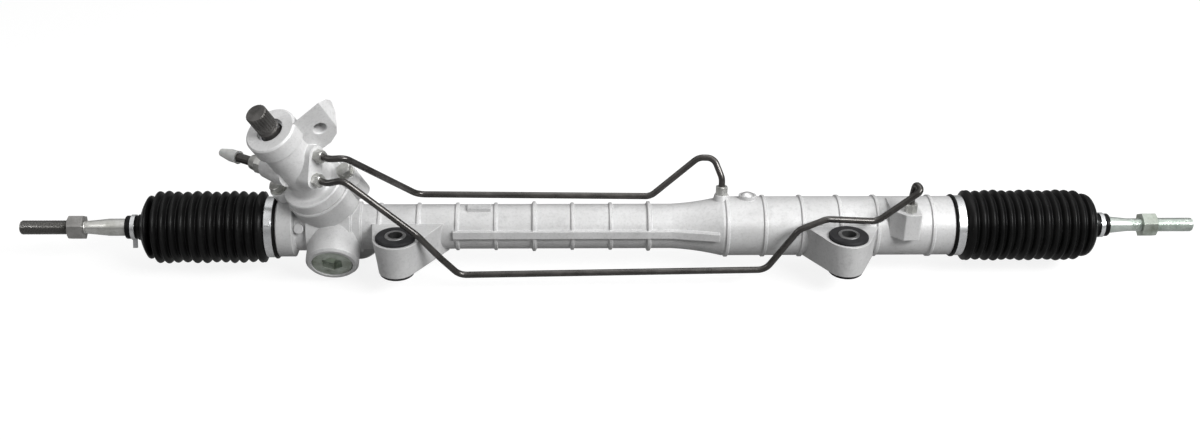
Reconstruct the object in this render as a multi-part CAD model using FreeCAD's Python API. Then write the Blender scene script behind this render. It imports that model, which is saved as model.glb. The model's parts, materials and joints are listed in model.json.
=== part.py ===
import FreeCAD, Part
import math
import os
from FreeCAD import Matrix, Placement, Vector

# A hydraulic power steering rack, in millimetres and degrees.
# The origin lies midway between the two mounting bushes, level with the lower ends of their sleeves.
# +X runs along the rack towards the power cylinder, -Y faces the front, +Z runs up the mounting bolts.

# Fits
SEAT_FIT = 0.05
RUNNING_FIT = 0.06
SOFT_GAP = 0.35
WORKING_GAP = 0.5

# Rack line and mounting bushes
RACK_Y = 50.0
RACK_Z = 26.0
BUSH_SPACING = 438.0
BUSH_LENGTH = 42.5
SLEEVE_RADIUS = 10.4
SLEEVE_BORE = 7.25
RUBBER_RADIUS = 15.0
RUBBER_FLANGE_RADIUS = 19.3
RUBBER_FLANGE = 3.2
RUBBER_LIP_RADIUS = 16.7
RUBBER_LIP = 3.2
SLEEVE_PROUD = 0.7

# Ears of the casting
EAR_TOP_RADIUS = 22.0
EAR_FOOT_RADIUS = 17.6
EAR_BASE_DEPTH = 8.0
LEFT_EAR_WEBS = (27.0, 50.0)
LEFT_FOOT_WEBS = (15.0, 48.0)
RIGHT_EAR_WEBS = (48.0, 42.0)
RIGHT_FOOT_WEBS = (46.0, 40.0)

# Rack housing along the rack, as places on X
GEAR_END_X = -353.0
SPIGOT_LENGTH = 14.5
COLLAR_LENGTH = 17.4
NECK_LENGTH = 11.4
GEAR_CASE_END_X = -264.5
RIDGE_LENGTH = 8.0
TAPER_START_X = 50.0
TAPER_END_X = 100.0
CYLINDER_END_X = 344.0
END_SPIGOT_LENGTH = 12.5

# Rack housing radii about the rack
SPIGOT_RADIUS = 27.0
COLLAR_RADIUS = 29.5
NECK_RADIUS = 23.5
GEAR_CASE_RADIUS = 28.5
RIDGE_RADIUS = 25.0
TUBE_RADIUS = 22.3
CYLINDER_RADIUS = 29.6
TAPER_SCOOP = 1.2
TUBE_BORE = 15.5
CYLINDER_BORE = 22.0
SOCKET_BORE = 21.2
CAST_EDGE = 1.2

# Ring ribs cast on the housing
RIB_WIDTH = 2.6
RIB_HEIGHT = 1.5
TALL_RIB_HEIGHT = 2.6
TUBE_RIB_FIRST_X = -238.0
TUBE_RIB_PITCH = 37.9
TUBE_RIB_COUNT = 8
TALL_TUBE_RIBS = (4, 7)
CYLINDER_RIB_FIRST_X = 104.5
CYLINDER_RIB_PITCH = 37.3
CYLINDER_RIB_COUNT = 5
END_RIB_X = 309.0

# Parting rail, top pad and bosses of the casting
RAIL_LENGTH = 262.0
RAIL_END_X = 96.0
RAIL_PROUD = 3.2
RAIL_LOW = -1.5
RAIL_HIGH = 6.5
PAD_X = -140.5
PAD_LENGTH = 23.0
PAD_WIDTH = 9.0
PAD_PROUD = 2.4
CORE_PLUG_X = 126.0
CORE_PLUG_RADIUS = 7.0
CORE_BOSS_RADIUS = 8.8
CORE_BOSS_PROUD = 3.0
CORE_PLUG_DOME = 3.0
NECK_BOSS_RADIUS = 4.8
NECK_BOSS_PROUD = 3.5

# Rack bar and its travel
RACK_RADIUS = 13.0
RACK_TRAVEL = 72.0
STOP_MARGIN = 1.0
LEFT_STOP_X = -345.0
RIGHT_STOP_X = 335.0
SOCKET_SETBACK = 25.0
RACK_CHAMFER = 1.5

# Rack and pinion teeth
PINION_TEETH = 7
MODULE = 2.1
PRESSURE_ANGLE = 20.0
PINION_SHIFT = 0.55
PINION_TIP_RADIUS = 10.8
DEDENDUM = 1.15
BACKLASH = 0.3
CENTRE_DISTANCE = 16.0
PINION_X = -280.0
TILT = 28.0
SKEW = 20.0
PINION_HALF_FACE = 20.0
TOOTH_MARGIN = 20.0
TWIST_SECTIONS = 7

# Pinion shaft and its bearings, measured along the pinion from the mesh
LOWER_JOURNAL_RADIUS = 6.0
LOWER_BEARING_START = 25.0
LOWER_BEARING_WIDTH = 10.0
LOWER_BEARING_RADIUS = 16.0
LOWER_RACE_RADIUS = 9.0
LOWER_NUT_WIDTH = 19.0
LOWER_NUT_LENGTH = 6.0
LOWER_BOSS_RADIUS = 21.0
LOWER_BOSS_LENGTH = 54.0
END_CAP_LENGTH = 8.0
END_CAP_HEX = 22.0
UPPER_JOURNAL_RADIUS = 10.0
UPPER_BEARING_START = 24.0
UPPER_BEARING_WIDTH = 8.0
UPPER_BEARING_RADIUS = 21.0
PINION_SEAL_WIDTH = 5.0
PINION_CHAMBER_RADIUS = 13.6
TURRET_START = 22.0
TURRET_RADIUS = 34.0
TURRET_EDGE = 2.0

# Valve housing
FLANGE_THICKNESS = 12.0
FLANGE_RADIUS = 31.5
FLANGE_GAP = 0.1
SPIGOT_DEPTH = 8.0
SPIGOT_CLEARANCE = 2.0
EAR_OFFSET = 36.0
EAR_RADIUS = 9.5
EAR_BOLT_RADIUS = 4.0
EAR_BOSS_DEPTH = 20.0
BOLT_HEX = 13.0
BOLT_HEAD = 6.0
BOLT_WASHER_RADIUS = 8.5
BOLT_WASHER = 1.4
TOWER_RADIUS = 22.0
TOWER_HEAD_RADIUS = 25.0
TOWER_HEAD_LENGTH = 20.0
TOWER_EDGE = 1.6
VALVE_BORE = 17.6
INPUT_BEARING_WIDTH = 9.0
INPUT_SEAL_RADIUS = 12.8
INPUT_SEAL_DEPTH = 5.0
INPUT_SEAL_WIDTH = 8.0
INPUT_SEAL_SPACING = 1.0
SNAP_RING = 1.4

# Ports on the valve housing, their heights measured from the top of the turret
PORT_ANGLE = 30.0
UPPER_PORT = (55.0, 7.0)
LOWER_PORT = (39.0, -10.0)
PORT_FACE = 28.0
PORT_BOSS_RADIUS = 9.2
PORT_DRILL = 3.0
NUT_HEX = 11.0
NUT_LENGTH = 8.5
NUT_THREAD_RADIUS = 5.0
NUT_THREAD_LENGTH = 9.0
LUG_ANGLE = 20.0
LUG_FRONT = 8.0
LUG_BACK = -12.0
LUG_REACH = 59.5
LUG_BEVEL = 6.0
LUG_BACK_SLOPE = 50.0
LUG_TOP = (90.0, 105.0)
LUG_LOW = 45.0
LUG_CORNERS = ((40.0, 52.5), (49.5, 59.0), (59.5, 78.0))
PRESSURE_PORT_OUT = 39.8
PRESSURE_PORT_HEIGHT = 74.5
PRESSURE_PORT_RADIUS = 6.0
PRESSURE_PORT_MOUTH_RADIUS = 7.0
PRESSURE_PORT_DEPTH = 15.0
RETURN_PORT_HEIGHT = 43.0
RETURN_PORT_OFFSET = -13.0
RETURN_BOSS_END = 30.0
RETURN_BOSS_ROOT_RADIUS = 13.5
RETURN_BOSS_TIP_RADIUS = 11.0
UNION_HEX = 17.0
UNION_THREAD_RADIUS = 7.0
UNION_HEX_LENGTH = 10.0
UNION_NOSE_RADIUS = 7.2
UNION_NOSE_LENGTH = 9.0
UNION_LENGTH = 17.0
RETURN_TUBE_RADIUS = 4.6
RETURN_TUBE_BORE = 3.4
RETURN_TUBE_END = 78.0
CAP_WALL = 1.5
CAP_GRIP = 10.0
CAP_TIP_RADIUS = 3.8
CAP_TIP_LENGTH = 12.0

# Rotary valve and input shaft
SLEEVE_LENGTH = 48.0
SLEEVE_CLEARANCE = 3.0
VALVE_SLEEVE_RADIUS = 17.0
SHAFT_RADIUS = 12.0
SEAL_RING_COUNT = 4
SEAL_RING_WIDTH = 2.0
SEAL_RING_DEPTH = 1.6
CUP_DROP = 3.0
CUP_LENGTH = 22.0
CUP_CLEARANCE = 2.0
CUP_RADIUS = 12.6
TANG_RADIUS = 8.0
TANG_HALF_WIDTH = 6.0
TANG_SLACK = 0.5
INPUT_JOURNAL_RADIUS = 10.8
INPUT_NECK_RADIUS = 10.2
INPUT_SHAFT_PROUD = 26.0
SPLINE_LENGTH = 18.0
SPLINE_COUNT = 24
SPLINE_DEPTH = 0.7
BAR_RADIUS = 3.0
BAR_END_RADIUS = 4.4
BAR_START = 26.0
BAR_CLEARANCE = 0.3
PIN_RADIUS = 1.5

# Yoke that presses the rack into mesh, its axis a little off the pinion's
YOKE_OFFSET = -3.0
YOKE_RADIUS = 17.0
YOKE_FRONT = 5.0
YOKE_BACK = 28.0
LINER_THICKNESS = 1.0
YOKE_BOSS_RADIUS = 25.7
YOKE_BOSS_LENGTH = 45.0
YOKE_PLUG_RADIUS = 20.0
YOKE_PLUG_LENGTH = 14.5
YOKE_PLUG_RECESS = 1.0
YOKE_PLUG_HEX = 19.0
YOKE_PLUG_HEX_DEPTH = 7.0
SPRING_RADIUS = 9.0
SPRING_WIRE = 1.4
SPRING_POCKET_RADIUS = 11.5
SPRING_POCKET_DEPTH = 7.0
SPRING_TURNS = 3

# Piston and cylinder seals
PISTON_WIDTH = 12.0
PISTON_CLEARANCE = 0.3
PISTON_RING_WIDTH = 4.0
PISTON_RING_DEPTH = 2.5
PISTON_CLIP = 2.0
PISTON_CLIP_RADIUS = 15.5
CHAMBER_START_X = 82.0
INNER_SEAL_WIDTH = 10.0
END_BUSH_START_X = 300.0
OUTER_SEAL_WIDTH = 9.0
END_BUSH_SEAL_POCKET = 18.0
END_RING = 2.0

# Cylinder ports and transfer pipes
UPPER_CYLINDER_PORT_X = 100.0
UPPER_CYLINDER_PORT_LEAN = 8.0
CYLINDER_PORT_BOSS_RADIUS = 8.2
CYLINDER_PORT_TIP_RADIUS = 7.0
CYLINDER_PORT_BOSS_PROUD = 3.5
LOWER_CYLINDER_PORT_X = 282.0
LOWER_CYLINDER_PORT_Y = 20.0
PORT_BLOCK_LEFT = 18.0
PORT_BLOCK_RIGHT = 10.0
PORT_BLOCK_FRONT = 10.0
PORT_BLOCK_FLANK = 12.0
PORT_BLOCK_TOP_Z = 57.0
PORT_BLOCK_FOOT_Z = 29.5
PIPE_RADIUS = 3.2
PIPE_BORE = 2.2
PIPE_BEND = 14.0
PIPE_STRAIGHT = 8.0

# Corners of the two pipes between their straight ends, as places from the rack's axis
UPPER_PIPE_ROUTE = ((-261.0, -52.0, 98.3), (-202.0, 14.0, 28.8), (30.0, 14.0, 26.3),
                    (77.0, 20.0, 66.0), (92.0, 17.0, 67.0))
LOWER_PIPE_ROUTE = ((-264.0, -59.0, 79.0), (-197.0, -59.0, 20.5), (-176.0, -54.0, -7.0),
                    (-159.0, -46.3, -29.5), (141.0, -44.3, -26.0), (170.0, -48.0, 20.0),
                    (197.0, -46.0, 30.5), (247.0, -42.0, 26.0), (287.5, -42.0, 59.0),
                    (283.5, -31.0, 62.0))

# Inner ball joints, tie rods and lock nuts
BALL_RADIUS = 14.0
BALL_NECK_RADIUS = 7.5
SEAT_THICKNESS = 1.9
SOCKET_RADIUS = 19.5
SOCKET_LIP = 8.5
SOCKET_BASE = 23.0
SEAT_MOUTH = 7.8
STUD_RADIUS = 8.0
STUD_LENGTH = 20.0
WASHER_RADIUS = 16.5
TIE_ROD_REACH = 148.0
TIE_ROD_RADIUS = 8.5
TIE_ROD_THIN_RADIUS = 6.4
TIE_ROD_THIN_START = 64.0
TIE_ROD_THREAD_START = 84.0
THREAD_RADIUS = 7.0
THREAD_RELIEF = 0.4
LOCK_NUT_HEX = 22.0
LOCK_NUT_LENGTH = 15.0
LEFT_NUT_PLACE = 86.0
RIGHT_NUT_PLACE = 94.5

# Bellows
BELLOWS_CREST_RADIUS = 36.0
BELLOWS_END_CREST_RADIUS = 32.0
BELLOWS_VALLEY_RADIUS = 29.0
BELLOWS_BORE = 26.2
BELLOWS_WALL = 1.8
BELLOWS_LIP_WIDTH = 2.2
BELLOWS_LIP_RADIUS = 31.5
CLAMP_WIDTH = 7.8
CLAMP_THICKNESS = 1.1
CLIP_WIDTH = 4.0
CLIP_SETBACK = 9.5
CLIP_THICKNESS = 1.0
CUFF_LENGTH = 19.0
CUFF_RADIUS = 11.2
LEFT_CUFF_END = 44.7
LEFT_CREST_COUNT = 13
RIGHT_CUFF_END = 60.5
RIGHT_CREST_COUNT = 14
LEFT_CREST_SETBACKS = (4.8, 5.4)
RIGHT_CREST_SETBACKS = (6.0, 7.0)

# Sizes that follow from the values above
SKEW_RAD = math.radians(SKEW)
TILT_RAD = math.radians(TILT)
PITCH_RADIUS = PINION_TEETH * MODULE / (2 * math.cos(SKEW_RAD))
RACK_PITCH = math.pi * MODULE
RACK_REFERENCE = CENTRE_DISTANCE - PITCH_RADIUS - PINION_SHIFT * MODULE
LEFT_BALL_X = LEFT_STOP_X - RACK_TRAVEL - STOP_MARGIN - SOCKET_SETBACK
RIGHT_BALL_X = RIGHT_STOP_X + RACK_TRAVEL + STOP_MARGIN + SOCKET_SETBACK
RACK_START_X = LEFT_BALL_X + SOCKET_SETBACK
RACK_END_X = RIGHT_BALL_X - SOCKET_SETBACK
END_BUSH_END_X = RIGHT_STOP_X
PISTON_X = (CHAMBER_START_X + INNER_SEAL_WIDTH + END_BUSH_START_X) / 2
FLANGE_HEIGHT = UPPER_BEARING_START + UPPER_BEARING_WIDTH + PINION_SEAL_WIDTH + SPIGOT_CLEARANCE + SPIGOT_DEPTH
CUP_START = FLANGE_HEIGHT - CUP_DROP
CUP_END = CUP_START + CUP_LENGTH
SLEEVE_START = CUP_END + CUP_CLEARANCE
SLEEVE_END = SLEEVE_START + SLEEVE_LENGTH
VALVE_BORE_END = SLEEVE_END + SLEEVE_CLEARANCE
TOWER_TOP = (VALVE_BORE_END + INPUT_BEARING_WIDTH + INPUT_SEAL_SPACING + INPUT_SEAL_WIDTH
             + INPUT_SEAL_DEPTH)
INPUT_SHAFT_END = TOWER_TOP + INPUT_SHAFT_PROUD
LEFT_MOUTH = -(GEAR_END_X + SPIGOT_LENGTH) + SOFT_GAP
RIGHT_MOUTH = CYLINDER_END_X - END_SPIGOT_LENGTH + SOFT_GAP

# Directions
ALONG_RACK = Vector(1, 0, 0)
TO_PINION = Vector(0, math.cos(TILT_RAD), math.sin(TILT_RAD))
PINION_AXIS = Vector(-math.sin(SKEW_RAD),
                     -math.sin(TILT_RAD) * math.cos(SKEW_RAD),
                     math.cos(TILT_RAD) * math.cos(SKEW_RAD))
PINION_SIDE = TO_PINION.cross(PINION_AXIS)
RACK_POINT = Vector(PINION_X, RACK_Y, RACK_Z)
MESH_POINT = RACK_POINT + TO_PINION * CENTRE_DISTANCE


def frame(origin, x_axis, y_axis, z_axis):
    """A placement that carries local x, y, z onto three square directions."""
    return Placement(Matrix(x_axis.x, y_axis.x, z_axis.x, origin.x,
                            x_axis.y, y_axis.y, z_axis.y, origin.y,
                            x_axis.z, y_axis.z, z_axis.z, origin.z,
                            0, 0, 0, 1))


def placed(shape, place):
    moved = shape.copy()
    moved.Placement = place.multiply(moved.Placement)
    return moved


def on_rack(shape, x=0.0):
    """Local z along the rack towards the cylinder, local y up."""
    place = frame(Vector(x, RACK_Y, RACK_Z), Vector(0, 1, 0), Vector(0, 0, 1), Vector(1, 0, 0))
    return placed(shape, place)


def on_rack_reversed(shape, x=0.0):
    """Local z along the rack towards the gear end."""
    place = frame(Vector(x, RACK_Y, RACK_Z), Vector(0, 1, 0), Vector(0, 0, -1), Vector(-1, 0, 0))
    return placed(shape, place)


TOWER = frame(MESH_POINT, PINION_SIDE, TO_PINION, PINION_AXIS)
YOKE_PLACE = frame(RACK_POINT + ALONG_RACK * YOKE_OFFSET, ALONG_RACK, TO_PINION.cross(ALONG_RACK) * -1, TO_PINION * -1)
PORT_OUT = (PINION_SIDE * math.cos(math.radians(PORT_ANGLE))
            - TO_PINION * math.sin(math.radians(PORT_ANGLE)))
PORT_ACROSS = PINION_AXIS.cross(PORT_OUT)
LUG_OUT = (PINION_SIDE * math.cos(math.radians(LUG_ANGLE))
           + TO_PINION * math.sin(math.radians(LUG_ANGLE)))
LUG_FACING = LUG_OUT.cross(PINION_AXIS)
LUG_PLACE = frame(MESH_POINT + PINION_AXIS * FLANGE_HEIGHT, LUG_OUT, PINION_AXIS, LUG_FACING)


def port_place(height, offset):
    """Local z out of a pipe port, starting on the tower's own axis."""
    origin = MESH_POINT + PINION_AXIS * (FLANGE_HEIGHT + height) + PORT_ACROSS * offset
    return frame(origin, PORT_ACROSS, PINION_AXIS, PORT_OUT)


RETURN_PLACE = frame(port_place(RETURN_PORT_HEIGHT, RETURN_PORT_OFFSET).Base,
                     PINION_AXIS, PORT_ACROSS, PORT_OUT * -1)


def upper_cylinder_port_place():
    lean = math.radians(UPPER_CYLINDER_PORT_LEAN)
    out = Vector(0, math.sin(lean), math.cos(lean))
    return frame(Vector(UPPER_CYLINDER_PORT_X, RACK_Y, RACK_Z), ALONG_RACK, out.cross(ALONG_RACK), out)


def lower_cylinder_port_place():
    origin = Vector(LOWER_CYLINDER_PORT_X, LOWER_CYLINDER_PORT_Y, PORT_BLOCK_TOP_Z)
    return frame(origin, ALONG_RACK, Vector(0, 1, 0), Vector(0, 0, 1))


def bush_place(side):
    x = side * BUSH_SPACING / 2
    return frame(Vector(x, 0, 0), Vector(1, 0, 0), Vector(0, 1, 0), Vector(0, 0, 1))


def turned(outline):
    """Turn an outline of (radius, height) points about local z.

    A point of four numbers ends an arc: its last two are a point that the arc goes through."""
    start = Vector(outline[0][0], 0, outline[0][1])
    here = start
    edges = []
    for point in outline[1:]:
        end = Vector(point[0], 0, point[1])
        if len(point) == 4:
            edges.append(Part.Arc(here, Vector(point[2], 0, point[3]), end).toShape())
        else:
            edges.append(Part.makeLine(here, end))
        here = end
    edges.append(Part.makeLine(here, start))
    solid = Part.Face(Part.Wire(edges)).revolve(Vector(0, 0, 0), Vector(0, 0, 1), 360)
    if solid.Volume < 0:
        solid.reverse()
    return solid


def rod(radius, low, high, x=0.0, y=0.0):
    """A round bar along local z between two heights."""
    return Part.makeCylinder(radius, high - low, Vector(x, y, low))


def ring(outer, inner, low, high):
    return turned([(inner, low), (outer, low), (outer, high), (inner, high)])


def block(low, high):
    size = Vector(*high) - Vector(*low)
    return Part.makeBox(size.x, size.y, size.z, Vector(*low))


def hexagon(across_flats, low, high, x=0.0, y=0.0):
    corner = across_flats / math.sqrt(3)
    points = [Vector(x + corner * math.cos(math.radians(60 * i + 30)),
                     y + corner * math.sin(math.radians(60 * i + 30)), low) for i in range(7)]
    return Part.Face(Part.makePolygon(points)).extrude(Vector(0, 0, high - low))


def bevelled_hexagon(across_flats, low, high):
    """A nut or bolt head: a hexagon whose corners are turned off at its outer end."""
    corner = across_flats / math.sqrt(3)
    bevel = corner - across_flats / 2 * 0.97
    turning = turned([(0, low), (corner, low), (corner, high - bevel * 0.6),
                      (corner - bevel, high), (0, high)])
    return hexagon(across_flats, low, high).common(turning)


def nut_with_thread(across_flats, length, thread_radius, thread_length, bore):
    """A tube nut: hexagon from local z=0 up, thread below, bored through for its pipe."""
    body = bevelled_hexagon(across_flats, 0, length)
    body = body.fuse(rod(thread_radius, -thread_length, 0))
    return body.cut(rod(bore, -thread_length - 1, length + 1))


def bent_pipe(points, radius, bore):
    """A pipe through a route of points, its corners bent to tangent arcs."""
    edges = []
    here = points[0]
    for index in range(1, len(points) - 1):
        corner = points[index]
        back = points[index - 1] - corner
        ahead = points[index + 1] - corner
        shorter = min(back.Length, ahead.Length)
        turn = math.pi - back.getAngle(ahead)
        set_back = min(PIPE_BEND * math.tan(turn / 2), 0.45 * shorter)
        bend = set_back / math.tan(turn / 2)
        back.normalize()
        ahead.normalize()
        start = corner + back * set_back
        end = corner + ahead * set_back
        inward = back + ahead
        inward.normalize()
        middle = corner + inward * (bend / math.cos(turn / 2) - bend)
        edges.append(Part.makeLine(here, start))
        edges.append(Part.Arc(start, middle, end).toShape())
        here = end
    edges.append(Part.makeLine(here, points[-1]))
    path = Part.Wire(edges)
    direction = points[1] - points[0]
    outside = Part.Wire(Part.makeCircle(radius, points[0], direction))
    inside = Part.Wire(Part.makeCircle(bore, points[0], direction))
    pipe = path.makePipeShell([outside], True, False).cut(path.makePipeShell([inside], True, False))
    print("pipe length", round(path.Length, 1), "volume", round(pipe.Volume, 1))
    return pipe


def ribbed_outline():
    """Outer outline of the rack housing as (radius, x) points, from the gear end to the cylinder end."""
    collar_x = GEAR_END_X + SPIGOT_LENGTH
    neck_x = collar_x + COLLAR_LENGTH
    case_x = neck_x + NECK_LENGTH
    ridge_end_x = GEAR_CASE_END_X + RIDGE_LENGTH
    outline = [(0, GEAR_END_X), (SPIGOT_RADIUS - CAST_EDGE, GEAR_END_X),
               (SPIGOT_RADIUS, GEAR_END_X + CAST_EDGE), (SPIGOT_RADIUS, collar_x),
               (COLLAR_RADIUS - CAST_EDGE, collar_x), (COLLAR_RADIUS, collar_x + CAST_EDGE),
               (COLLAR_RADIUS, neck_x - CAST_EDGE), (NECK_RADIUS, neck_x + CAST_EDGE),
               (NECK_RADIUS, case_x), (GEAR_CASE_RADIUS, case_x + CAST_EDGE),
               (GEAR_CASE_RADIUS, GEAR_CASE_END_X - CAST_EDGE), (RIDGE_RADIUS, GEAR_CASE_END_X),
               (RIDGE_RADIUS, ridge_end_x), (TUBE_RADIUS, ridge_end_x + CAST_EDGE)]
    for index in range(TUBE_RIB_COUNT):
        height = TALL_RIB_HEIGHT if index in TALL_TUBE_RIBS else RIB_HEIGHT
        outline += rib_points(TUBE_RIB_FIRST_X + index * TUBE_RIB_PITCH, TUBE_RADIUS, height)
    middle_x = (TAPER_START_X + TAPER_END_X) / 2
    middle_radius = (TUBE_RADIUS + CYLINDER_RADIUS) / 2 - TAPER_SCOOP
    outline += [(TUBE_RADIUS, TAPER_START_X), (CYLINDER_RADIUS, TAPER_END_X, middle_radius, middle_x)]
    for index in range(CYLINDER_RIB_COUNT):
        x = CYLINDER_RIB_FIRST_X + index * CYLINDER_RIB_PITCH
        outline += rib_points(x, CYLINDER_RADIUS, RIB_HEIGHT)
    outline += rib_points(END_RIB_X, CYLINDER_RADIUS, RIB_HEIGHT)
    spigot_x = CYLINDER_END_X - END_SPIGOT_LENGTH
    outline += [(CYLINDER_RADIUS, spigot_x - CAST_EDGE), (SPIGOT_RADIUS, spigot_x),
                (SPIGOT_RADIUS, CYLINDER_END_X - CAST_EDGE), (SPIGOT_RADIUS - CAST_EDGE, CYLINDER_END_X),
                (0, CYLINDER_END_X)]
    return outline


def rib_points(x, radius, height):
    return [(radius, x - RIB_WIDTH / 2 - height / 2), (radius + height, x - RIB_WIDTH / 2),
            (radius + height, x + RIB_WIDTH / 2), (radius, x + RIB_WIDTH / 2 + height / 2)]


def ear_outline(x, radius, left_web, right_web, base_y, z):
    """Plan of an ear: a round nose about the bolt, with straight webs tangent to it."""
    centre = Vector(x, 0, z)
    tangents = []
    for side, web in ((-1, left_web), (1, right_web)):
        base = Vector(x + side * web, base_y, z)
        to_base = base - centre
        swing = math.acos(radius / to_base.Length)
        heading = math.atan2(to_base.y, to_base.x) + side * -swing
        touch = centre + Vector(math.cos(heading), math.sin(heading), 0) * radius
        tangents.append((base, touch))
    (left_base, left_touch), (right_base, right_touch) = tangents
    nose = centre - Vector(0, radius, 0)
    return Part.Wire([Part.makeLine(left_base, left_touch), Part.Arc(left_touch, nose, right_touch).toShape(),
                      Part.makeLine(right_touch, right_base), Part.makeLine(right_base, left_base)])


def ear(side, webs, foot_webs):
    """One mounting ear, drawn out from a small foot to a wide top and rooted in the housing."""
    x = side * BUSH_SPACING / 2
    base_y = RACK_Y - EAR_BASE_DEPTH
    foot = ear_outline(x, EAR_FOOT_RADIUS, *foot_webs, base_y, RUBBER_LIP + SLEEVE_PROUD)
    top = ear_outline(x, EAR_TOP_RADIUS, *webs, base_y, BUSH_LENGTH - SLEEVE_PROUD - RUBBER_FLANGE)
    return Part.makeLoft([foot, top], True, True)


def parting_rail():
    """Rail along the front of the tube, where the two halves of the casting die met."""
    start_x = RAIL_END_X - RAIL_LENGTH
    front = RACK_Y - TUBE_RADIUS - RAIL_PROUD
    rail = block((start_x, front, RACK_Z + RAIL_LOW), (TAPER_START_X, RACK_Y, RACK_Z + RAIL_HIGH))
    flare = CYLINDER_RADIUS - TUBE_RADIUS
    corners = [Vector(TAPER_START_X, front, 0), Vector(RAIL_END_X, front - flare, 0),
               Vector(RAIL_END_X, RACK_Y, 0), Vector(TAPER_START_X, RACK_Y, 0), Vector(TAPER_START_X, front, 0)]
    flared = Part.Face(Part.makePolygon(corners)).extrude(Vector(0, 0, RAIL_HIGH - RAIL_LOW))
    flared.translate(Vector(0, 0, RACK_Z + RAIL_LOW))
    return rail.fuse(flared)


def gear_casting():
    """The pinion case, its turret and bolt ears, and the yoke boss."""
    lower = placed(turned([(0, -LOWER_BOSS_LENGTH), (LOWER_BOSS_RADIUS - CAST_EDGE, -LOWER_BOSS_LENGTH),
                           (LOWER_BOSS_RADIUS, -LOWER_BOSS_LENGTH + CAST_EDGE), (LOWER_BOSS_RADIUS, 0),
                           (TURRET_RADIUS - TURRET_EDGE, TURRET_START),
                           (TURRET_RADIUS, TURRET_START + TURRET_EDGE),
                           (TURRET_RADIUS, FLANGE_HEIGHT - CAST_EDGE),
                           (TURRET_RADIUS - CAST_EDGE, FLANGE_HEIGHT), (0, FLANGE_HEIGHT)]), TOWER)
    bolt_ears = placed(flange_ears(FLANGE_HEIGHT - EAR_BOSS_DEPTH, FLANGE_HEIGHT), TOWER)
    yoke_boss = placed(turned([(0, 0), (YOKE_BOSS_RADIUS, 0), (YOKE_BOSS_RADIUS, YOKE_BOSS_LENGTH - 2 * CAST_EDGE),
                               (YOKE_BOSS_RADIUS - 2 * CAST_EDGE, YOKE_BOSS_LENGTH),
                               (0, YOKE_BOSS_LENGTH)]), YOKE_PLACE)
    return [lower, bolt_ears, yoke_boss]


def flange_ears(low, high, clearance=0.0):
    radius = EAR_RADIUS + clearance
    ears = block((-EAR_OFFSET, -radius, low), (EAR_OFFSET, radius, high))
    for side in (-1, 1):
        ears = ears.fuse(rod(radius, low, high, side * EAR_OFFSET))
    return ears


def cylinder_bosses():
    """Bosses on the power cylinder for its two pipe ports and its core plug."""
    root = CYLINDER_BORE + WORKING_GAP
    tip = CYLINDER_RADIUS + CYLINDER_PORT_BOSS_PROUD
    upper = turned([(0, root), (CYLINDER_PORT_BOSS_RADIUS, root), (CYLINDER_PORT_BOSS_RADIUS, CYLINDER_RADIUS - 1),
                    (CYLINDER_PORT_TIP_RADIUS, tip), (0, tip)])
    plug = rod(CORE_BOSS_RADIUS, root, CYLINDER_RADIUS + CORE_BOSS_PROUD)
    return [placed(upper, upper_cylinder_port_place()), port_block(), placed(plug, core_plug_place())]


def port_block():
    """Block in front of the cylinder for the lower pipe's port, its left front corner cut to a flank."""
    left = LOWER_CYLINDER_PORT_X - PORT_BLOCK_LEFT
    right = LOWER_CYLINDER_PORT_X + PORT_BLOCK_RIGHT
    front = LOWER_CYLINDER_PORT_Y - PORT_BLOCK_FRONT
    plan = [(left, front + PORT_BLOCK_FLANK), (left + PORT_BLOCK_FLANK, front), (right, front),
            (right, RACK_Y), (left, RACK_Y)]
    corners = [Vector(x, y, PORT_BLOCK_FOOT_Z) for x, y in plan + plan[:1]]
    solid = Part.Face(Part.makePolygon(corners)).extrude(Vector(0, 0, PORT_BLOCK_TOP_Z - PORT_BLOCK_FOOT_Z))
    in_front = [edge for edge in solid.Edges if upright(edge) and edge.CenterOfMass.y < RACK_Y - 1]
    return solid.makeFillet(2.0, in_front)


def upright(edge):
    ends = edge.Vertexes[-1].Point - edge.Vertexes[0].Point
    return abs(ends.z) > 0.99 * ends.Length


def core_plug_place():
    place = upper_cylinder_port_place()
    place.Base = Vector(CORE_PLUG_X, RACK_Y, RACK_Z)
    return place


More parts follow.
